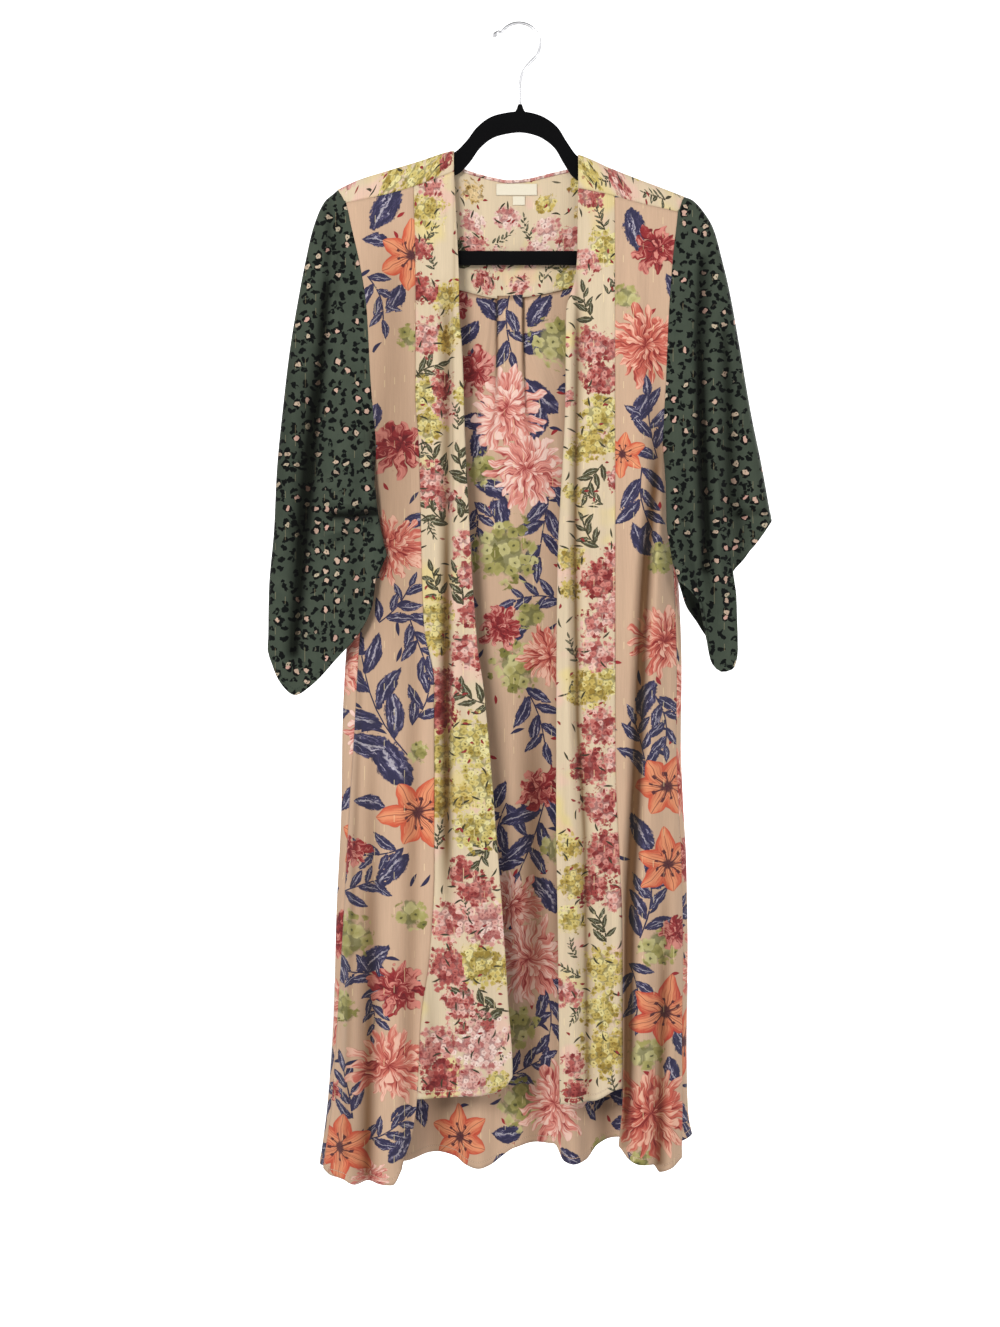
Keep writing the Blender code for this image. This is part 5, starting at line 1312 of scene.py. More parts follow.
def seen_place(sheet, x, drop, behind):
    """Where a point of the hanging cloth lies on the flat cloth. behind is True for the layer
    behind the hanger, False for the one before it and None for either."""
    spots = sheet.middle
    gap = (spots[..., 0] - x) ** 2 + (spots[..., 2] + drop) ** 2
    if behind is not None:
        gap = gap + np.where((spots[..., 1] > 0) == behind, 0.0, 1e6)
    row, column = np.unravel_index(np.argmin(gap), gap.shape)
    return sheet.flat[row, column]


def in_motif(motif, spots):
    """Places in a motif's own frame, from -1 to 1 over its width and length."""
    cos = math.cos(motif.turn)
    sin = math.sin(motif.turn)
    du = spots[..., 0] - motif.u
    dv = motif.v - spots[..., 1]
    return np.stack([(du * cos + dv * sin) / motif.wide, (dv * cos - du * sin) / motif.long], -1)


def print_layer(sheet, layer, placed):
    """Keeps for each face corner its place in the motif that covers the face."""
    corners = sheet.corners
    centre = corners.mean(axis=1)
    best = np.full(len(corners), NOWHERE)
    values = np.full(corners.shape[:2] + (3,), NOWHERE, np.float32)
    values[..., 2] = 0.0
    for motif in placed:
        reach = max(motif.wide, motif.long) * 1.1
        near = np.where((np.abs(centre[:, 0] - motif.u) < reach)
                        & (np.abs(centre[:, 1] - motif.v) < reach))[0]
        if len(near) == 0:
            continue
        middle = in_motif(motif, centre[near])
        if motif.wide == motif.long:
            far = np.hypot(middle[:, 0], middle[:, 1])
        else:
            far = np.maximum(np.abs(middle[:, 0]), np.abs(middle[:, 1]))
        edge = 1.0 + FACE_REACH / min(motif.wide, motif.long)
        won = (far < edge) & (far < best[near])
        chosen = near[won]
        best[chosen] = far[won]
        values[chosen, :, :2] = in_motif(motif, corners[chosen])
        values[chosen, :, 2] = motif.seed + min(max(motif.tone, 0.01), 0.99)
    keep_corners(sheet.thing.data, layer, values)


def spray(u, v, reach, turn, tone, seed):
    """A leafy stem: a bent row of leaves on both sides, and the stem's short pieces."""
    leaves = []
    stems = []
    bend = 0.5 * math.sin(seed * 2.3)
    small = reach < SMALL_SPRAY
    pairs = 4 if small else 3
    leaf_size = 0.30 if small else 0.44
    leaf_width = 0.36 if small else 0.46
    last = None
    for k in range(2 * pairs + 1):
        share = k / (2 * pairs)
        along_stem = (2.0 * share - 1.0) * reach * 0.72
        off = bend * reach * 0.30 * math.sin(math.pi * share)
        way = turn - bend * 0.5 * math.cos(math.pi * share)
        su = u + off * math.cos(turn) - along_stem * math.sin(turn)
        sv = v - off * math.sin(turn) - along_stem * math.cos(turn)
        if last is not None:
            du = su - last[0]
            dv = sv - last[1]
            run = math.hypot(du, dv)
            stems.append(Placed(0.5 * (su + last[0]), 0.5 * (sv + last[1]), 1.6, 0.56 * run,
                                math.atan2(-du, -dv), tone, seed))
        last = (su, sv)
        side = 1 if k % 2 else -1
        open_angle = -side * (0.75 + 0.25 * math.sin(seed + 1.7 * k)) * (1.0 - 0.9 * (k == 2 * pairs))
        size = reach * (leaf_size - 0.12 * share + 0.05 * math.sin(seed * 1.3 + 2.9 * k))
        angle = way + open_angle
        lu = su - math.sin(angle) * size
        lv = sv - math.cos(angle) * size
        leaves.append(Placed(lu, lv, size * leaf_width, size, angle, tone, seed + k))
    return leaves[0::2], leaves[1::2], stems


def place_all(motifs):
    """Motifs of a cloth by layer."""
    layers = {}
    for seed, motif in enumerate(motifs):
        u = motif.x
        v = motif.drop
        turn = math.radians(motif.turn)
        if motif.kind == "spray":
            leaves, others, stems = spray(u, v, motif.reach, turn, motif.tone, seed)
            layers.setdefault("leaf", []).extend(leaves)
            layers.setdefault("second_leaf", []).extend(others)
            layers.setdefault("stem", []).extend(stems)
        elif motif.kind == "leaf":
            layers.setdefault("leaf", []).append(
                Placed(u, v, motif.reach * 0.62, motif.reach, turn, motif.tone, seed))
        else:
            layers.setdefault(motif.kind, []).append(
                Placed(u, v, motif.reach, motif.reach, turn, motif.tone, seed))
    return layers


def printed(sheet, motifs, kinds):
    """Lays motifs on a cloth; their places are on its flat."""
    layers = place_all(motifs)
    for kind in kinds:
        print_layer(sheet, kind + "_at", layers.get(kind, []))


def paint(red, green, blue):
    """A colour given as it looks on a screen, 0 to 255, in the linear values of a shader."""
    def linear(value):
        value /= 255.0
        return value / 12.92 if value <= 0.04045 else ((value + 0.055) / 1.055) ** 2.4
    return (linear(red), linear(green), linear(blue), 1.0)


class Wire:
    """The result of a node. Arithmetic on it adds Math nodes."""

    def __init__(self, net, socket):
        self.net = net
        self.socket = socket

    def __add__(self, other):
        return self.net.math("ADD", self, other)

    def __sub__(self, other):
        return self.net.math("SUBTRACT", self, other)

    def __rsub__(self, other):
        return self.net.math("SUBTRACT", other, self)

    def __mul__(self, other):
        return self.net.math("MULTIPLY", self, other)

    def __truediv__(self, other):
        return self.net.math("DIVIDE", self, other)

    def __rtruediv__(self, other):
        return self.net.math("DIVIDE", other, self)

    def __pow__(self, other):
        return self.net.math("POWER", self, other)

    __radd__ = __add__
    __rmul__ = __mul__


class Net:
    """Short calls that add nodes to one material."""

    def __init__(self, name, roughness=0.85):
        self.material = bpy.data.materials.new(name)
        self.material.use_nodes = True
        self.nodes = self.material.node_tree.nodes
        self.links = self.material.node_tree.links
        self.shader = self.nodes["Principled BSDF"]
        self.feed("Roughness", roughness)

    def plug(self, socket, value):
        if isinstance(value, Wire):
            self.links.new(value.socket, socket)
        elif value is not None:
            socket.default_value = value

    def feed(self, name, value):
        """Sets an input of the material's shader."""
        self.plug(self.shader.inputs[name], value)

    def math(self, operation, *values):
        node = self.nodes.new("ShaderNodeMath")
        node.operation = operation
        for socket, value in zip(node.inputs, values):
            self.plug(socket, value)
        return Wire(self, node.outputs[0])

    def smaller(self, a, b):
        return self.math("MINIMUM", a, b)

    def larger(self, a, b):
        return self.math("MAXIMUM", a, b)

    def whole(self, a):
        return self.math("FLOOR", a)

    def rest(self, a):
        return self.math("FRACT", a)

    def size(self, a):
        return self.math("ABSOLUTE", a)

    def sine(self, a):
        return self.math("SINE", a)

    def step(self, value, low, high):
        """0 below low, 1 above high and an S between them."""
        node = self.nodes.new("ShaderNodeMapRange")
        node.interpolation_type = "SMOOTHSTEP"
        self.plug(node.inputs["Value"], value)
        self.plug(node.inputs["From Min"], low)
        self.plug(node.inputs["From Max"], high)
        return Wire(self, node.outputs["Result"])

    def vector(self, x, y, z=0.0):
        node = self.nodes.new("ShaderNodeCombineXYZ")
        for socket, value in zip(node.inputs, (x, y, z)):
            self.plug(socket, value)
        return Wire(self, node.outputs[0])

    def bump(self, height, strength, distance):
        """Makes the surface look raised by a height."""
        node = self.nodes.new("ShaderNodeBump")
        node.inputs["Strength"].default_value = strength
        node.inputs["Distance"].default_value = distance
        self.plug(node.inputs["Height"], height)
        self.links.new(node.outputs["Normal"], self.shader.inputs["Normal"])

    def own_place(self):
        """Place in the object's own frame."""
        node = self.nodes.new("ShaderNodeTexCoord")
        return Wire(self, node.outputs["Object"])

    def parts(self, vector):
        node = self.nodes.new("ShaderNodeSeparateXYZ")
        self.plug(node.inputs[0], vector)
        return [Wire(self, socket) for socket in node.outputs]

    def attribute(self, name):
        node = self.nodes.new("ShaderNodeAttribute")
        node.attribute_name = name
        return Wire(self, node.outputs["Vector"])

    def noise(self, vector, scale, detail=2.0, roughness=0.5):
        node = self.nodes.new("ShaderNodeTexNoise")
        self.plug(node.inputs["Vector"], vector)
        node.inputs["Scale"].default_value = scale
        node.inputs["Detail"].default_value = detail
        node.inputs["Roughness"].default_value = roughness
        return Wire(self, node.outputs[0]), Wire(self, node.outputs[1])

    def random(self, vector):
        node = self.nodes.new("ShaderNodeTexWhiteNoise")
        node.noise_dimensions = "3D"
        self.plug(node.inputs["Vector"], vector)
        return Wire(self, node.outputs["Value"])

    def cells(self, vector, scale, randomness):
        """Distance from the nearest cell's centre, the centre's place and its own colour."""
        node = self.nodes.new("ShaderNodeTexVoronoi")
        node.voronoi_dimensions = "2D"
        self.plug(node.inputs["Vector"], vector)
        node.inputs["Scale"].default_value = scale
        node.inputs["Randomness"].default_value = randomness
        return (Wire(self, node.outputs["Distance"]), Wire(self, node.outputs["Position"]),
                Wire(self, node.outputs["Color"]))

    def mix(self, share, first, second):
        """A colour between two."""
        node = self.nodes.new("ShaderNodeMix")
        node.data_type = "RGBA"
        self.plug(node.inputs[0], share)
        self.plug(node.inputs[6], first)
        self.plug(node.inputs[7], second)
        return Wire(self, node.outputs[2])

    def shaded(self, colour, amount):
        """The colour times an amount."""
        node = self.nodes.new("ShaderNodeVectorMath")
        node.operation = "SCALE"
        self.plug(node.inputs[0], colour if isinstance(colour, Wire) else colour[:3])
        self.plug(node.inputs["Scale"], amount)
        return Wire(self, node.outputs[0])

    def ramp(self, value, *stops):
        """A colour by a value from 0 to 1, through stops of (place, colour)."""
        node = self.nodes.new("ShaderNodeValToRGB")
        self.plug(node.inputs[0], value)
        elements = node.color_ramp.elements
        while len(elements) < len(stops):
            elements.new(0.5)
        for element, (place, colour) in zip(elements, stops):
            element.position = place
            element.color = colour
        return Wire(self, node.outputs["Color"])

    def motif(self, layer, wobble=0.0, fine=3.0):
        """x, y, distance, angle, tone and seed in the motif that covers a face."""
        x, y, mark = self.parts(self.attribute(layer + "_at"))
        seed = self.whole(mark)
        tone = self.rest(mark)
        if wobble:
            _, shift = self.noise(self.vector(x, y, seed * 3.7), fine, 1.0)
            dx, dy, _ = self.parts(shift)
            x = x + (dx - 0.5) * wobble
            y = y + (dy - 0.5) * wobble
        far = self.math("SQRT", x * x + y * y)
        angle = self.math("ARCTAN2", y, x)
        return x, y, far, angle, tone, seed


# Colours of the prints, as they look on a screen
PEACH_GROUND = paint(203, 170, 142)
CREAM_GROUND = paint(216, 196, 165)
NAVY = paint(45, 42, 70)
NAVY_PALE = paint(92, 86, 120)
LEAF_LIGHT = paint(214, 206, 214)
OLIVE_DARK = paint(58, 54, 38)
OLIVE = paint(104, 100, 62)
LABEL_CREAM = paint(226, 216, 192)
# Painted shade in the depth of a fold: what is left there of a colour's red, green and blue
FOLD_PAINTED_SHADE = (0.24, 0.17, 0.10)
SLEEVE_FOLD_PAINTED_SHADE = (0.10, 0.10, 0.09)
# Petals and reach of each fan of a bloom, from the longest petals to the inmost
DAHLIA_FANS = ((19.0, 1.0), (17.0, 0.84), (14.0, 0.66), (11.0, 0.46), (8.0, 0.26))
RED_FANS = ((9.0, 1.0), (8.0, 0.78), (7.0, 0.54), (5.0, 0.32))
STITCH_LINE = 7.0          # of the hems' stitches from the edge, in millimetres
STITCH_STEP = 2.6          # from one stitch to the next
THREADS = 92.0             # gold threads to a metre
THREAD_BREAKS = 130.0      # and stretches along each, of which some show
SPOTS = 92.0               # leopard spots to a metre


def layered(net, ground, layers):
    """The ground with each layer of (colour, cover) over it."""
    for colour, cover in layers:
        ground = net.mix(cover, ground, colour)
    return ground


def bloom(net, layer, fans, dark, middle, pale, ragged):
    """A full bloom of narrow petals that all spring from its middle, dark at their roots and
    pale at their tips. fans gives (petals, reach) from the longest petals to the inmost. Each of
    the colours is a pair, for tone 0 and tone 1."""
    _, _, far, angle, tone, seed = net.motif(layer, ragged, 3.4)
    dark_tone = net.mix(tone, dark[0], dark[1])
    middle_tone = net.mix(tone, middle[0], middle[1])
    pale_tone = net.mix(tone, pale[0], pale[1])
    cover = 0.0
    colour = middle_tone
    for number, (count, reach) in enumerate(fans):
        turn = angle * (count / TAU) + net.rest(seed * 0.37 + number * 0.43)
        petal = net.whole(turn)
        lot = net.random(net.vector(petal, number * 1.0, seed))
        other = net.random(net.vector(petal, number + 20.0, seed))
        aside = net.size(net.rest(turn) - 0.5) * 2.0
        share = far / (reach * (0.66 + lot * 0.34))
        width = net.larger(1.0 - net.smaller(share, 1.0) ** 3.5, 0.0) ** 0.6 * 1.08
        inside = net.step(width - aside, 0.0, 0.16) * (1.0 - net.step(share, 0.97, 1.0))
        streak, _ = net.noise(net.vector(turn * 2.3, far * 1.1, seed + number * 5.0), 2.6, 2.0)
        bright = share * 0.62 + other * 0.42 + (streak - 0.5) * 1.7 - aside * 0.25 + 0.02
        body = net.mix(net.step(bright, 0.12, 0.48), dark_tone, middle_tone)
        body = net.mix(net.step(bright, 0.50, 0.92), body, pale_tone)
        line = net.step(aside - width * 0.74, 0.0, 0.16) * (0.30 + other * 0.5)
        body = net.mix(line, body, dark_tone)
        colour = net.mix(inside, colour, body)
        cover = inside if number == 0 else net.larger(cover, inside)
    return colour, cover


def lily(net, layer):
    """Six broad pointed petals with veins, a dark heart and stamens."""
    _, _, far, angle, tone, seed = net.motif(layer, 0.22, 2.2)
    turn = angle * (6.0 / TAU)
    petal = net.whole(turn)
    lot = net.random(net.vector(petal, seed, 0.0))
    arc = (net.rest(turn) - 0.5) * (TAU / 6.0) * far
    share = far / (0.74 + lot * 0.20)
    swell = net.sine(net.smaller(share ** 0.85, 1.0) * math.pi)
    half = net.larger(swell, 0.0) ** 0.75 * 0.30
    aside = net.size(arc) / net.larger(half, 0.01)
    inside = net.step(half - net.size(arc), 0.0, 0.025) * (1.0 - net.step(share, 0.98, 1.0))
    vein = net.sine(arc * 95.0 + lot * 6.0) * 0.5 + 0.5
    grain, _ = net.noise(net.vector(arc * 6.0, far, seed), 6.0, 2.0)
    colour = net.mix(net.step(aside + (grain - 0.5) * 0.8, 0.1, 0.9), paint(230, 150, 108),
                     net.mix(tone, paint(208, 92, 62), paint(190, 60, 50)))
    colour = net.mix(net.step(vein, 0.8, 1.0) * net.step(0.75 - share, 0.0, 0.4) * 0.7, colour,
                     paint(150, 48, 40))
    colour = net.mix(net.step(aside, 0.86, 0.98) * 0.6, colour, paint(140, 50, 44))
    colour = net.mix((1.0 - net.step(net.size(arc), 0.004, 0.014)) * 0.7, colour, paint(120, 40, 40))
    stamen = net.size(net.rest(angle * (9.0 / TAU) + lot * 0.3) - 0.5) * far * (TAU / 9.0)
    thread = (1.0 - net.step(stamen, 0.010, 0.020)) * (1.0 - net.step(far, 0.34, 0.37))
    head = (1.0 - net.step(stamen, 0.028, 0.040)) * net.step(far, 0.27, 0.29)
    head = head * (1.0 - net.step(far, 0.35, 0.37))
    heart = 1.0 - net.step(far + (grain - 0.5) * 0.12, 0.10, 0.17)
    ink = net.larger(net.larger(thread, head), heart)
    colour = net.mix(ink * 0.92, colour, paint(62, 26, 40))
    return colour, net.larger(inside, ink)


def leaf(net, layer, dark, middle, light):
    """A pointed leaf along y with pale brush lines; it bends a little to one side."""
    x, y, _, _, _, seed = net.motif(layer)
    share = y * 0.5 + 0.5
    x = x + (y * y - 0.5) * 0.30 * net.sine(seed * 1.9)
    _, shift = net.noise(net.vector(x, y, seed * 2.1), 2.2, 2.0)
    _, rough = net.noise(net.vector(x, y, seed * 1.3), 9.0, 2.0)
    dx, _, _ = net.parts(shift)
    jag, _, _ = net.parts(rough)
    x = x + (dx - 0.5) * 0.45 + (jag - 0.5) * 0.28
    swell = net.sine(net.larger(net.smaller(share, 1.0), 0.0) ** 0.85 * math.pi)
    half = net.larger(swell, 0.0) ** 0.9 * 0.82
    cover = net.step(half - net.size(x), 0.0, 0.10)
    brush, _ = net.noise(net.vector(x * 3.2, y * 0.7, seed), 2.6, 3.0)
    lines = net.step(brush, 0.60, 0.70) * net.step(half - net.size(x), 0.08, 0.25)
    rib = (1.0 - net.step(net.size(x - 0.05), 0.02, 0.09)) * net.step(share, 0.12, 0.3)
    rib = rib * (1.0 - net.step(share, 0.75, 0.9))
    colour = net.mix(net.step(brush, 0.46, 0.72), dark, middle)
    colour = net.mix(net.larger(lines * 0.75, rib * 0.6), colour, light)
    return colour, cover


def stem(net, layer, colour):
    """A short straight piece of stalk along y."""
    x, y, _, _, _, _ = net.motif(layer)
    return colour, (1.0 - net.step(net.size(x), 0.35, 0.60)) * (1.0 - net.step(net.size(y), 0.98, 1.0))


def floret_cloud(net, layer, scale, dark, middle, pale, heart, ragged):
    """A loose head of small four-petalled florets with dark hearts. dark, middle and pale are
    colours or wires."""
    x, y, far, _, _, seed = net.motif(layer)
    place = net.attribute("cloth_at")
    _, drift = net.noise(place, 260.0, 1.0)
    px, py, _ = net.parts(place)
    dx, dy, _ = net.parts(drift)
    place = net.vector(px + (dx - 0.5) * 0.004, py + (dy - 0.5) * 0.004, 0.0)
    gap, spot, lot = net.cells(place, scale, 0.8)
    sx, sy, _ = net.parts(spot)
    qx, qy, _ = net.parts(place)
    r1, r2, r3 = net.parts(lot)
    theta = net.math("ARCTAN2", qy * scale - sy * scale, qx * scale - sx * scale)
    lobes = net.sine(theta * 4.0 + r1 * 6.28) * 0.5 + 0.5
    petal = net.step(0.44 + lobes * 0.16 - gap, 0.0, 0.07)
    rough, _ = net.noise(net.vector(x, y, seed), 3.2, 3.0)
    rim = far + (rough - 0.5) * ragged * 2.0 + (r3 - 0.5) * 0.22
    head = 1.0 - net.step(rim, 0.74, 0.84)
    wash = net.smaller(net.larger(r2 * 0.8 + gap * 0.5 + (rough - 0.5) * 0.8, 0.0), 1.0)
    colour = net.mix(net.step(wash, 0.1, 0.5), dark, middle)
    colour = net.mix(net.step(wash, 0.5, 0.95), colour, pale)
    ink = (1.0 - net.step(gap, 0.07, 0.15)) * net.step(r1, 0.35, 0.40)
    colour = net.mix(ink * 0.85, colour, heart)
    shadow = net.step(gap, 0.30, 0.62) * (1.0 - petal)
    colour = net.mix(shadow * 0.6, colour, heart)
    return colour, head * net.larger(petal, 1.0 - net.step(rim, 0.45, 0.70))


def flecks(net, scale, share, length, width):
    """Small pointed brush strokes at random places and turns. Returns where they are."""
    place = net.attribute("cloth_at")
    _, spot, lot = net.cells(place, scale, 1.0)
    px, py, _ = net.parts(place)
    sx, sy, _ = net.parts(spot)
    r1, r2, r3 = net.parts(lot)
    dx = (px - sx) * scale
    dy = (py - sy) * scale
    cos = net.math("COSINE", r1 * 6.28)
    sin = net.sine(r1 * 6.28)
    along_stroke = dx * cos + dy * sin
    across = net.size(dy * cos - dx * sin + along_stroke * along_stroke * (r3 - 0.5) * 1.6)
    swell = 1.0 - (along_stroke / length) * (along_stroke / length)
    return net.step(swell * width - across, 0.0, 0.02) * net.step(r2, 1.0 - share, 1.01 - share)


def washed(net, ground, tint, scale, low, high):
    """The ground with pale watercolour clouds of a tint."""
    cloud, _ = net.noise(net.attribute("cloth_at"), scale, 2.0)
    return net.mix(net.step(cloud, low, high) * 0.6, ground, tint)


def cloth_ground(net, base, stripes=0.10):
    """Ground of a crinkled crepe: fine upright stripes and cloudy tone."""
    place = net.attribute("cloth_at")
    u, v, _ = net.parts(place)
    fine, _ = net.noise(net.vector(u, v * 0.03, 0.0), 900.0, 2.0)
    broad, _ = net.noise(net.vector(u, v * 0.12, 3.0), 60.0, 2.0)
    tone = 1.0 + (fine - 0.5) * stripes * 2.0 + (broad - 0.5) * stripes * 2.4
    return net.shaded(base, tone)


def gold_thread(net, colour, amount):
    """Broken upright threads of bright yarn. Returns the colour and where the thread shows."""
    place = net.attribute("cloth_at")
    u, v, _ = net.parts(place)
    line = net.whole(u * THREADS)
    gap = net.size(net.rest(u * THREADS) - 0.5)
    lot = net.random(net.vector(line, net.whole(v * THREAD_BREAKS + line * 0.37), 1.0))
    shine = (1.0 - net.step(gap, 0.022, 0.05)) * net.step(lot, 0.86, 0.90) * amount
    return net.mix(shine, colour, paint(250, 228, 176)), shine


def stitched(net, colour, thread, dark):
    """A row of small stitches where the hem is sewn, each in a slight dimple whose shade is painted as a
    darker line.
    """
    distance, along_hem, _ = net.parts(net.attribute("hem_at"))
    off_line = net.size(distance - STITCH_LINE)
    dash = net.size(net.rest(along_hem / STITCH_STEP) - 0.5)
    # painted shade of the dimple along the stitches, in the dark colour
    painted_groove_shade = (1.0 - net.step(off_line, 0.3, 1.1)) * net.step(distance, 1.0, 2.0)
    stitch = (1.0 - net.step(off_line, 0.20, 0.38)) * (1.0 - net.step(dash, 0.32, 0.40))
    return net.mix(stitch * 0.8, net.mix(painted_groove_shade * 0.4, colour, dark), thread)


def crepe_bump(net):
    """Fine crinkle of the weave."""
    u, v, _ = net.parts(net.attribute("cloth_at"))
    fine, _ = net.noise(net.vector(u, v * 0.06, 0.0), 700.0, 3.0)
    grain, _ = net.noise(net.vector(u, v, 2.0), 1800.0, 1.0)
    net.bump(fine + grain * 0.35, 0.35, 0.0008)


def finish_cloth(net, colour, shine, tint=FOLD_PAINTED_SHADE, sheen=0.12):
    """Paints shade into the folds and along the dark lines, partly also where the sheer cloth lies double,
    and sets how the cloth shines.
    """
    # painted shade: the colour is multiplied by the shade tint as far as the shade attribute says
    shade_node = net.nodes.new("ShaderNodeAttribute")
    shade_node.attribute_name = "shade"
    deep = net.nodes.new("ShaderNodeVectorMath")
    deep.operation = "MULTIPLY"
    net.plug(deep.inputs[0], colour)
    deep.inputs[1].default_value = tint
    colour = net.mix(Wire(net, shade_node.outputs["Fac"]), colour, Wire(net, deep.outputs[0]))
    net.feed("Base Color", colour)
    net.feed("Roughness", 0.86 - shine * 0.45)
    net.feed("Specular IOR Level", 1.6 * sheen)
    net.feed("Sheen Weight", sheen)
    net.feed("Sheen Roughness", 0.5)
    crepe_bump(net)
    return net.material


def large_print():
    """Dahlias, lilies, red blooms, green hydrangeas and navy leaves on peach."""
    net = Net("print_cloth_printed")
    ground = cloth_ground(net, PEACH_GROUND)
    layers = [
        (NAVY, flecks(net, 36.0, 0.22, 0.34, 0.085)),
        (paint(150, 40, 44), flecks(net, 47.0, 0.10, 0.26, 0.10)),
        stem(net, "stem", NAVY),
        leaf(net, "leaf", NAVY, NAVY_PALE, LEAF_LIGHT),
        leaf(net, "second_leaf", NAVY, NAVY_PALE, LEAF_LIGHT),
        floret_cloud(net, "green", 74.0, paint(120, 116, 58), paint(164, 156, 92), paint(198, 190, 134),
                     paint(66, 66, 40), 0.42),
        bloom(net, "peony", RED_FANS, (paint(96, 22, 28), paint(120, 34, 38)),
              (paint(140, 36, 40), paint(168, 64, 62)), (paint(212, 130, 116), paint(232, 178, 164)), 0.52),
        bloom(net, "dahlia", DAHLIA_FANS, (paint(126, 30, 30), paint(156, 56, 56)),
              (paint(196, 88, 70), paint(220, 142, 128)),
              (paint(238, 180, 152), paint(242, 210, 196)), 0.30),
        lily(net, "lily"),
    ]
    # The last colour is the painted shade in the dimple along the hem's stitches.
    colour = stitched(net, layered(net, ground, layers), paint(226, 200, 174), paint(150, 112, 88))
    colour, shine = gold_thread(net, colour, 0.45)
    return finish_cloth(net, colour, shine)


LARGE_KINDS = ("stem", "leaf", "second_leaf", "green", "peony", "dahlia", "lily")
SMALL_KINDS = ("stem", "leaf", "second_leaf", "cluster")


def small_print():
    """Small pink, red and yellow flower heads and dark sprigs on cream."""
    net = Net("small_print_cloth_printed")
    ground = washed(net, CREAM_GROUND, paint(226, 206, 128), 16.0, 0.54, 0.66)
    ground = washed(net, ground, paint(232, 186, 172), 19.0, 0.55, 0.66)
    ground = cloth_ground(net, ground)
    _, _, _, _, tone, _ = net.motif("cluster")
    dark = net.ramp(tone, (0.0, paint(184, 112, 106)), (0.35, paint(140, 52, 50)),
                    (0.55, paint(112, 30, 32)), (0.72, paint(150, 128, 52)), (1.0, paint(140, 108, 42)))
    middle = net.ramp(tone, (0.0, paint(220, 176, 164)), (0.35, paint(196, 116, 106)),
                      (0.55, paint(156, 60, 56)), (0.72, paint(202, 184, 106)), (1.0, paint(190, 156, 70)))
    pale = net.ramp(tone, (0.0, paint(238, 218, 206)), (0.35, paint(232, 192, 178)),
                    (0.55, paint(206, 126, 114)), (0.72, paint(228, 218, 158)), (1.0, paint(220, 198, 122)))
    heart = net.ramp(tone, (0.0, paint(132, 56, 62)), (0.55, paint(84, 20, 28)),
                     (0.72, paint(84, 76, 36)), (1.0, paint(80, 64, 32)))
    layers = [
        stem(net, "stem", OLIVE_DARK),
        leaf(net, "leaf", OLIVE_DARK, OLIVE, paint(196, 196, 168)),
        leaf(net, "second_leaf", OLIVE_DARK, OLIVE, paint(196, 196, 168)),
        floret_cloud(net, "cluster", 165.0, dark, middle, pale, heart, 0.62),
        (OLIVE_DARK, flecks(net, 62.0, 0.42, 0.38, 0.075)),
        (paint(140, 46, 46), flecks(net, 95.0, 0.16, 0.30, 0.13)),
    ]
    # The last colour is the painted shade in the dimple along the hem's stitches.
    colour = stitched(net, layered(net, ground, layers), paint(234, 216, 190), paint(160, 128, 98))
    colour, shine = gold_thread(net, colour, 0.5)
    return finish_cloth(net, colour, shine)


def leopard_print():
    """Uneven black spots and broken rings on sage green, some with pink hearts."""
    net = Net("sleeve_cloth_printed")
    place = net.attribute("cloth_at")
    u, v, _ = net.parts(place)
    _, drift = net.noise(place, 170.0, 2.0)
    dx, dy, _ = net.parts(drift)
    ax = u + (dx - 0.5) * 0.007
    ay = v + (dy - 0.5) * 0.007
    gap, spot, lot = net.cells(net.vector(ax, ay, 0.0), SPOTS, 0.80)
    sx, sy, _ = net.parts(spot)
    r1, r2, r3 = net.parts(lot)
    angle = net.math("ARCTAN2", ay - sy, ax - sx)
    lobes = net.sine(angle * 2.0 + r2 * 6.28) * 0.08 + net.sine(angle * 3.0 + r3 * 6.28) * 0.05
    rosette = net.step(r1, 0.76, 0.78)
    outer = 0.27 + lobes + r2 * 0.10 + rosette * 0.16
    blot = 1.0 - net.step(gap - outer, -0.02, 0.02)
    opening = net.step(net.sine(angle + r3 * 6.28), 0.74, 0.86) * net.step(r2, 0.3, 0.4)
    hole = 1.0 - net.step(gap - (0.09 + rosette * 0.15) + lobes * 0.4, -0.02, 0.02)
    ring = blot * (1.0 - hole * net.larger(rosette, net.step(r3, 0.72, 0.76)))
    ring = ring * (1.0 - opening * net.step(gap, 0.10, 0.16) * 0.9)
    cloud, _ = net.noise(place, 45.0, 2.0)
    sage = net.mix(cloud, paint(56, 65, 55), paint(76, 84, 71))
    sage = cloth_ground(net, sage, 0.06)
    colour = net.mix(hole * rosette, sage, net.mix(r2, paint(206, 160, 146), paint(190, 176, 150)))
    dot = (1.0 - net.step(gap, 0.035, 0.06)) * rosette * net.step(r2, 0.55, 0.6)
    ink = net.larger(ring, dot)
    # The last colour is the painted shade in the dimple along the hem's stitches.
    colour = stitched(net, net.mix(ink, colour, paint(9, 12, 11)), paint(78, 88, 76), paint(20, 25, 21))
    colour, shine = gold_thread(net, colour, 0.12)
    return finish_cloth(net, colour, shine, SLEEVE_FOLD_PAINTED_SHADE, 0.04)


def motifs_of(table):
    """The rows of a table as motifs. Heads have a turn of their own from their place."""
    motifs = []
    for kind, rows in table.items():
        for x, drop, reach, mark in rows:
            if kind == "cluster":
                reach *= CLUSTER_GROWTH
            if kind in ("leaf", "spray"):
                reach *= LEAF_GROWTH
                motifs.append(Motif(kind, x, drop, reach, mark, LEAF_TONE))
            else:
                motifs.append(Motif(kind, x, drop, reach, (7 * x + 3 * drop) % 360, mark))
    return motifs


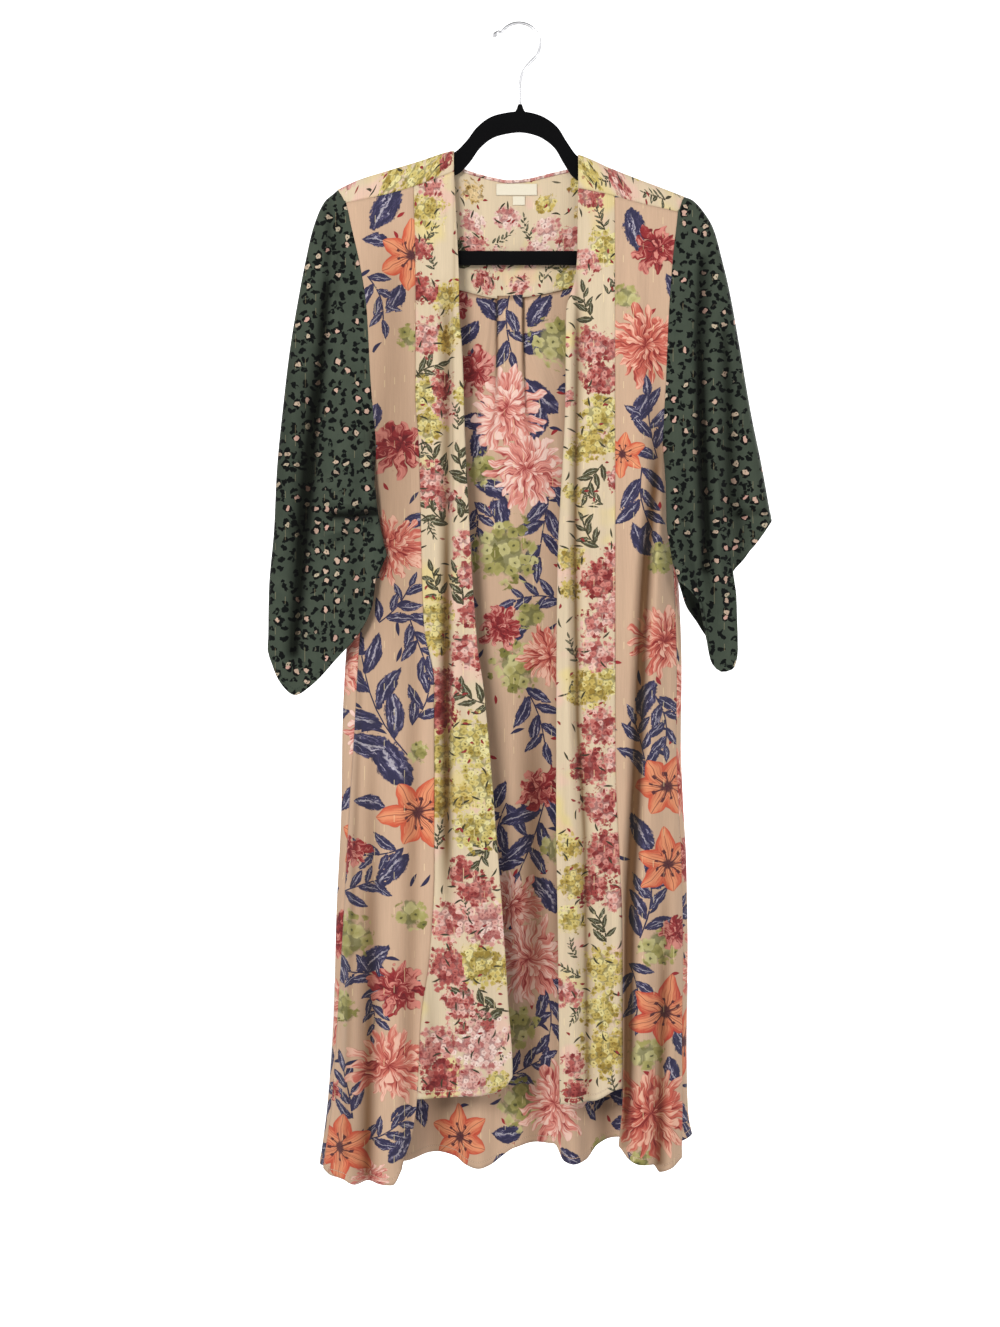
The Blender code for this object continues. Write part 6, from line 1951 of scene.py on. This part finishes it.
def fill_in(rng, motifs, box, wanted):
    """Adds motifs of the wanted kinds, (kind, reach, tone, count), where the box is still bare."""
    motifs = list(motifs)
    left, right, top, bottom = box
    for kind, reach, tone, count in wanted:
        placed = 0
        for _ in range(40 * count):
            size = reach * rng.uniform(0.85, 1.15)
            x = rng.uniform(left, right)
            drop = rng.uniform(top, bottom)
            free = all(math.hypot(x - m.x, drop - m.drop) > 0.78 * (size + m.reach) for m in motifs)
            if free:
                low, high = tone
                motifs.append(Motif(kind, x, drop, size, rng.uniform(0, 360), rng.uniform(low, high)))
                placed += 1
                if placed == count:
                    break
    return motifs


def on_flat(sheet, table, behind):
    """The motifs of a table, moved to where their places lie on the flat cloth."""
    motifs = []
    for motif in motifs_of(table):
        u, v = seen_place(sheet, motif.x, motif.drop, behind)
        motifs.append(motif._replace(x=float(u), drop=float(v)))
    return motifs


def label_cloth():
    """Woven satin: fine threads across and a little unevenness."""
    net = Net("label_cloth_woven", 0.55)
    u, v, _ = net.parts(net.attribute("cloth_at"))
    threads = net.sine(v * 9000.0) * 0.5 + 0.5
    cloud, _ = net.noise(net.vector(u, v * 4.0, 0.0), 260.0, 2.0)
    net.feed("Base Color", net.shaded(LABEL_CREAM, 0.94 + threads * 0.05 + (cloud - 0.5) * 0.10))
    net.feed("Sheen Weight", 0.15)
    return net.material


def black_flock():
    """Short velvet flock: near black, with a soft sheen and worn paler specks."""
    net = Net("black_flock_velvet", 0.95)
    at = net.own_place()
    grain, _ = net.noise(at, 1400.0, 2.0)
    cloud, _ = net.noise(at, 40.0, 2.0)
    speck = net.smaller(grain * 0.6 + cloud * 0.4, 1.0)
    net.feed("Base Color", net.mix(speck, paint(2, 2, 3), paint(12, 12, 13)))
    net.feed("Sheen Weight", 0.03)
    net.feed("Specular IOR Level", 0.06)
    net.bump(grain, 0.5, 0.0004)
    return net.material


def bright_wire():
    """Polished chrome wire with faint drawing marks."""
    net = Net("bright_wire_chrome", 0.16)
    at = net.own_place()
    marks, _ = net.noise(at, 900.0, 3.0)
    cloud, _ = net.noise(at, 90.0, 2.0)
    net.feed("Base Color", net.mix(cloud, paint(150, 150, 152), paint(196, 196, 198)))
    net.feed("Metallic", 1.0)
    net.feed("Roughness", 0.12 + marks * 0.16)
    return net.material


def make_camera():
    """The photograph's view: straight on, from about 2.2 m in front of the garment."""
    data = bpy.data.cameras.new("camera")
    data.sensor_fit = "VERTICAL"
    data.sensor_height = 24.0
    data.lens = data.sensor_height * CAMERA_DISTANCE / VIEW_HEIGHT
    camera = bpy.data.objects.new("camera", data)
    camera.location = (VIEW_X, -CAMERA_DISTANCE, VIEW_Z)
    camera.rotation_euler = (math.pi / 2, 0.0, 0.0)
    bpy.context.scene.collection.objects.link(camera)
    bpy.context.scene.camera = camera


def studio_white():
    """White that glows, so that floor and wall are as bright as the photograph's ground."""
    net = Net("studio_white", 0.9)
    net.feed("Base Color", (0.95, 0.95, 0.95, 1.0))
    net.feed("Emission Color", WHITE)
    net.feed("Emission Strength", 1.0)
    return net.material


def area_light(name, place, aim, size, power):
    """A square soft light that looks from its place at its aim."""
    data = bpy.data.lights.new(name, "AREA")
    data.shape = "RECTANGLE"
    data.size = size
    data.size_y = size
    data.energy = power
    light = bpy.data.objects.new(name, data)
    light.location = place
    direction = Vector(aim) - Vector(place)
    light.rotation_euler = direction.to_track_quat("-Z", "Y").to_euler()
    bpy.context.scene.collection.objects.link(light)


def make_wall():
    """A pale floor that runs up into a round white wall. It only shows to the camera, so that
    the lights alone shape the cloth."""
    profile = [(0.0, 0.0)]
    profile += [(WALL_RADIUS - FLOOR_TURN + FLOOR_TURN * math.sin(a), FLOOR_TURN * (1 - math.cos(a)))
                for a in np.linspace(0, math.pi / 2, 16)]
    profile.append((WALL_RADIUS, WALL_HEIGHT))
    vertices = []
    for radius, height in profile:
        for turn in np.linspace(0, TAU, WALL_SIDES, endpoint=False):
            vertices.append((radius * math.cos(turn), radius * math.sin(turn), FLOOR_Z + height))
    faces = ring_faces(len(profile), WALL_SIDES)
    faces[:WALL_SIDES] = [(a, d, c) for a, _, c, d in faces[:WALL_SIDES]]
    mesh = bpy.data.meshes.new("studio")
    mesh.from_pydata(vertices, [], faces)
    mesh.materials.append(studio_white())
    studio = placed_mesh("studio", mesh)
    studio.visible_diffuse = False
    studio.visible_shadow = False


def make_studio():
    """The wall, an even light from all around and large soft lights."""
    make_wall()
    world = bpy.data.worlds.new("world")
    world.use_nodes = True
    background = world.node_tree.nodes["Background"]
    background.inputs["Color"].default_value = WHITE
    background.inputs["Strength"].default_value = WORLD_LIGHT
    bpy.context.scene.world = world
    for name, row in LIGHTS.items():
        area_light(name, *row)


def print_cloths(cloths):
    """Gives each printed cloth the places of its motifs."""
    rng = np.random.default_rng(PRINT_SEED)
    for side, front, band in (("left", LEFT_FRONT, LEFT_BAND), ("right", RIGHT_FRONT, RIGHT_BAND)):
        printed(cloths["side_front_" + side][0], motifs_of(front), LARGE_KINDS)
        printed(cloths["front_band_" + side][0], motifs_of(band), SMALL_KINDS)
    back = cloths["back_panel"][0]
    motifs = [motif._replace(x=float(seen_place(back, motif.x, motif.drop, None)[0]))
              for motif in motifs_of(BACK)]
    low = back.flat.reshape(-1, 2).min(0)
    high = back.flat.reshape(-1, 2).max(0)
    printed(back, fill_in(rng, motifs, (low[0], high[0], low[1], high[1]), BACK_FILLING), LARGE_KINDS)
    yoke = cloths["back_yoke"][0]
    motifs = on_flat(yoke, YOKE_FRONT, False) + on_flat(yoke, YOKE_BACK, True)
    printed(yoke, fill_in(rng, motifs, YOKE_BEHIND, YOKE_FILLING), SMALL_KINDS)


def main():
    make_hanger()
    cloths = {}
    for side in ("left", "right"):
        cloths["side_front_" + side] = (make_side_front(side), "print_cloth")
        cloths["front_band_" + side] = (make_band(side), "small_print_cloth")
        cloths["sleeve_" + side] = (make_sleeve(side), "sleeve_cloth")
    cloths["back_yoke"] = (make_yoke(), "small_print_cloth")
    cloths["back_panel"] = (make_back_panel(), "print_cloth")
    cloths["neck_binding"] = (make_binding(), "small_print_cloth")
    for node in LABELS:
        cloths[node] = (make_label(node), "label_cloth")
    print_cloths(cloths)
    materials = {"print_cloth": large_print(), "small_print_cloth": small_print(),
                 "sleeve_cloth": leopard_print(), "label_cloth": label_cloth()}
    sewn_on = ["neck_binding"] + list(LABELS)
    for node, (sheet, slot) in cloths.items():
        sheet.thing.data.materials.append(materials[slot])
        carry(sheet, node)
    for node, (sheet, slot) in cloths.items():
        if node == "back_yoke":
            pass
        elif node not in sewn_on:
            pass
    wire = bright_wire()
    for slot in bpy.data.objects["hanger_hook"].material_slots:
        slot.material = wire
    make_camera()
    make_studio()
    bpy.context.scene.view_settings.view_transform = "Standard"


main()
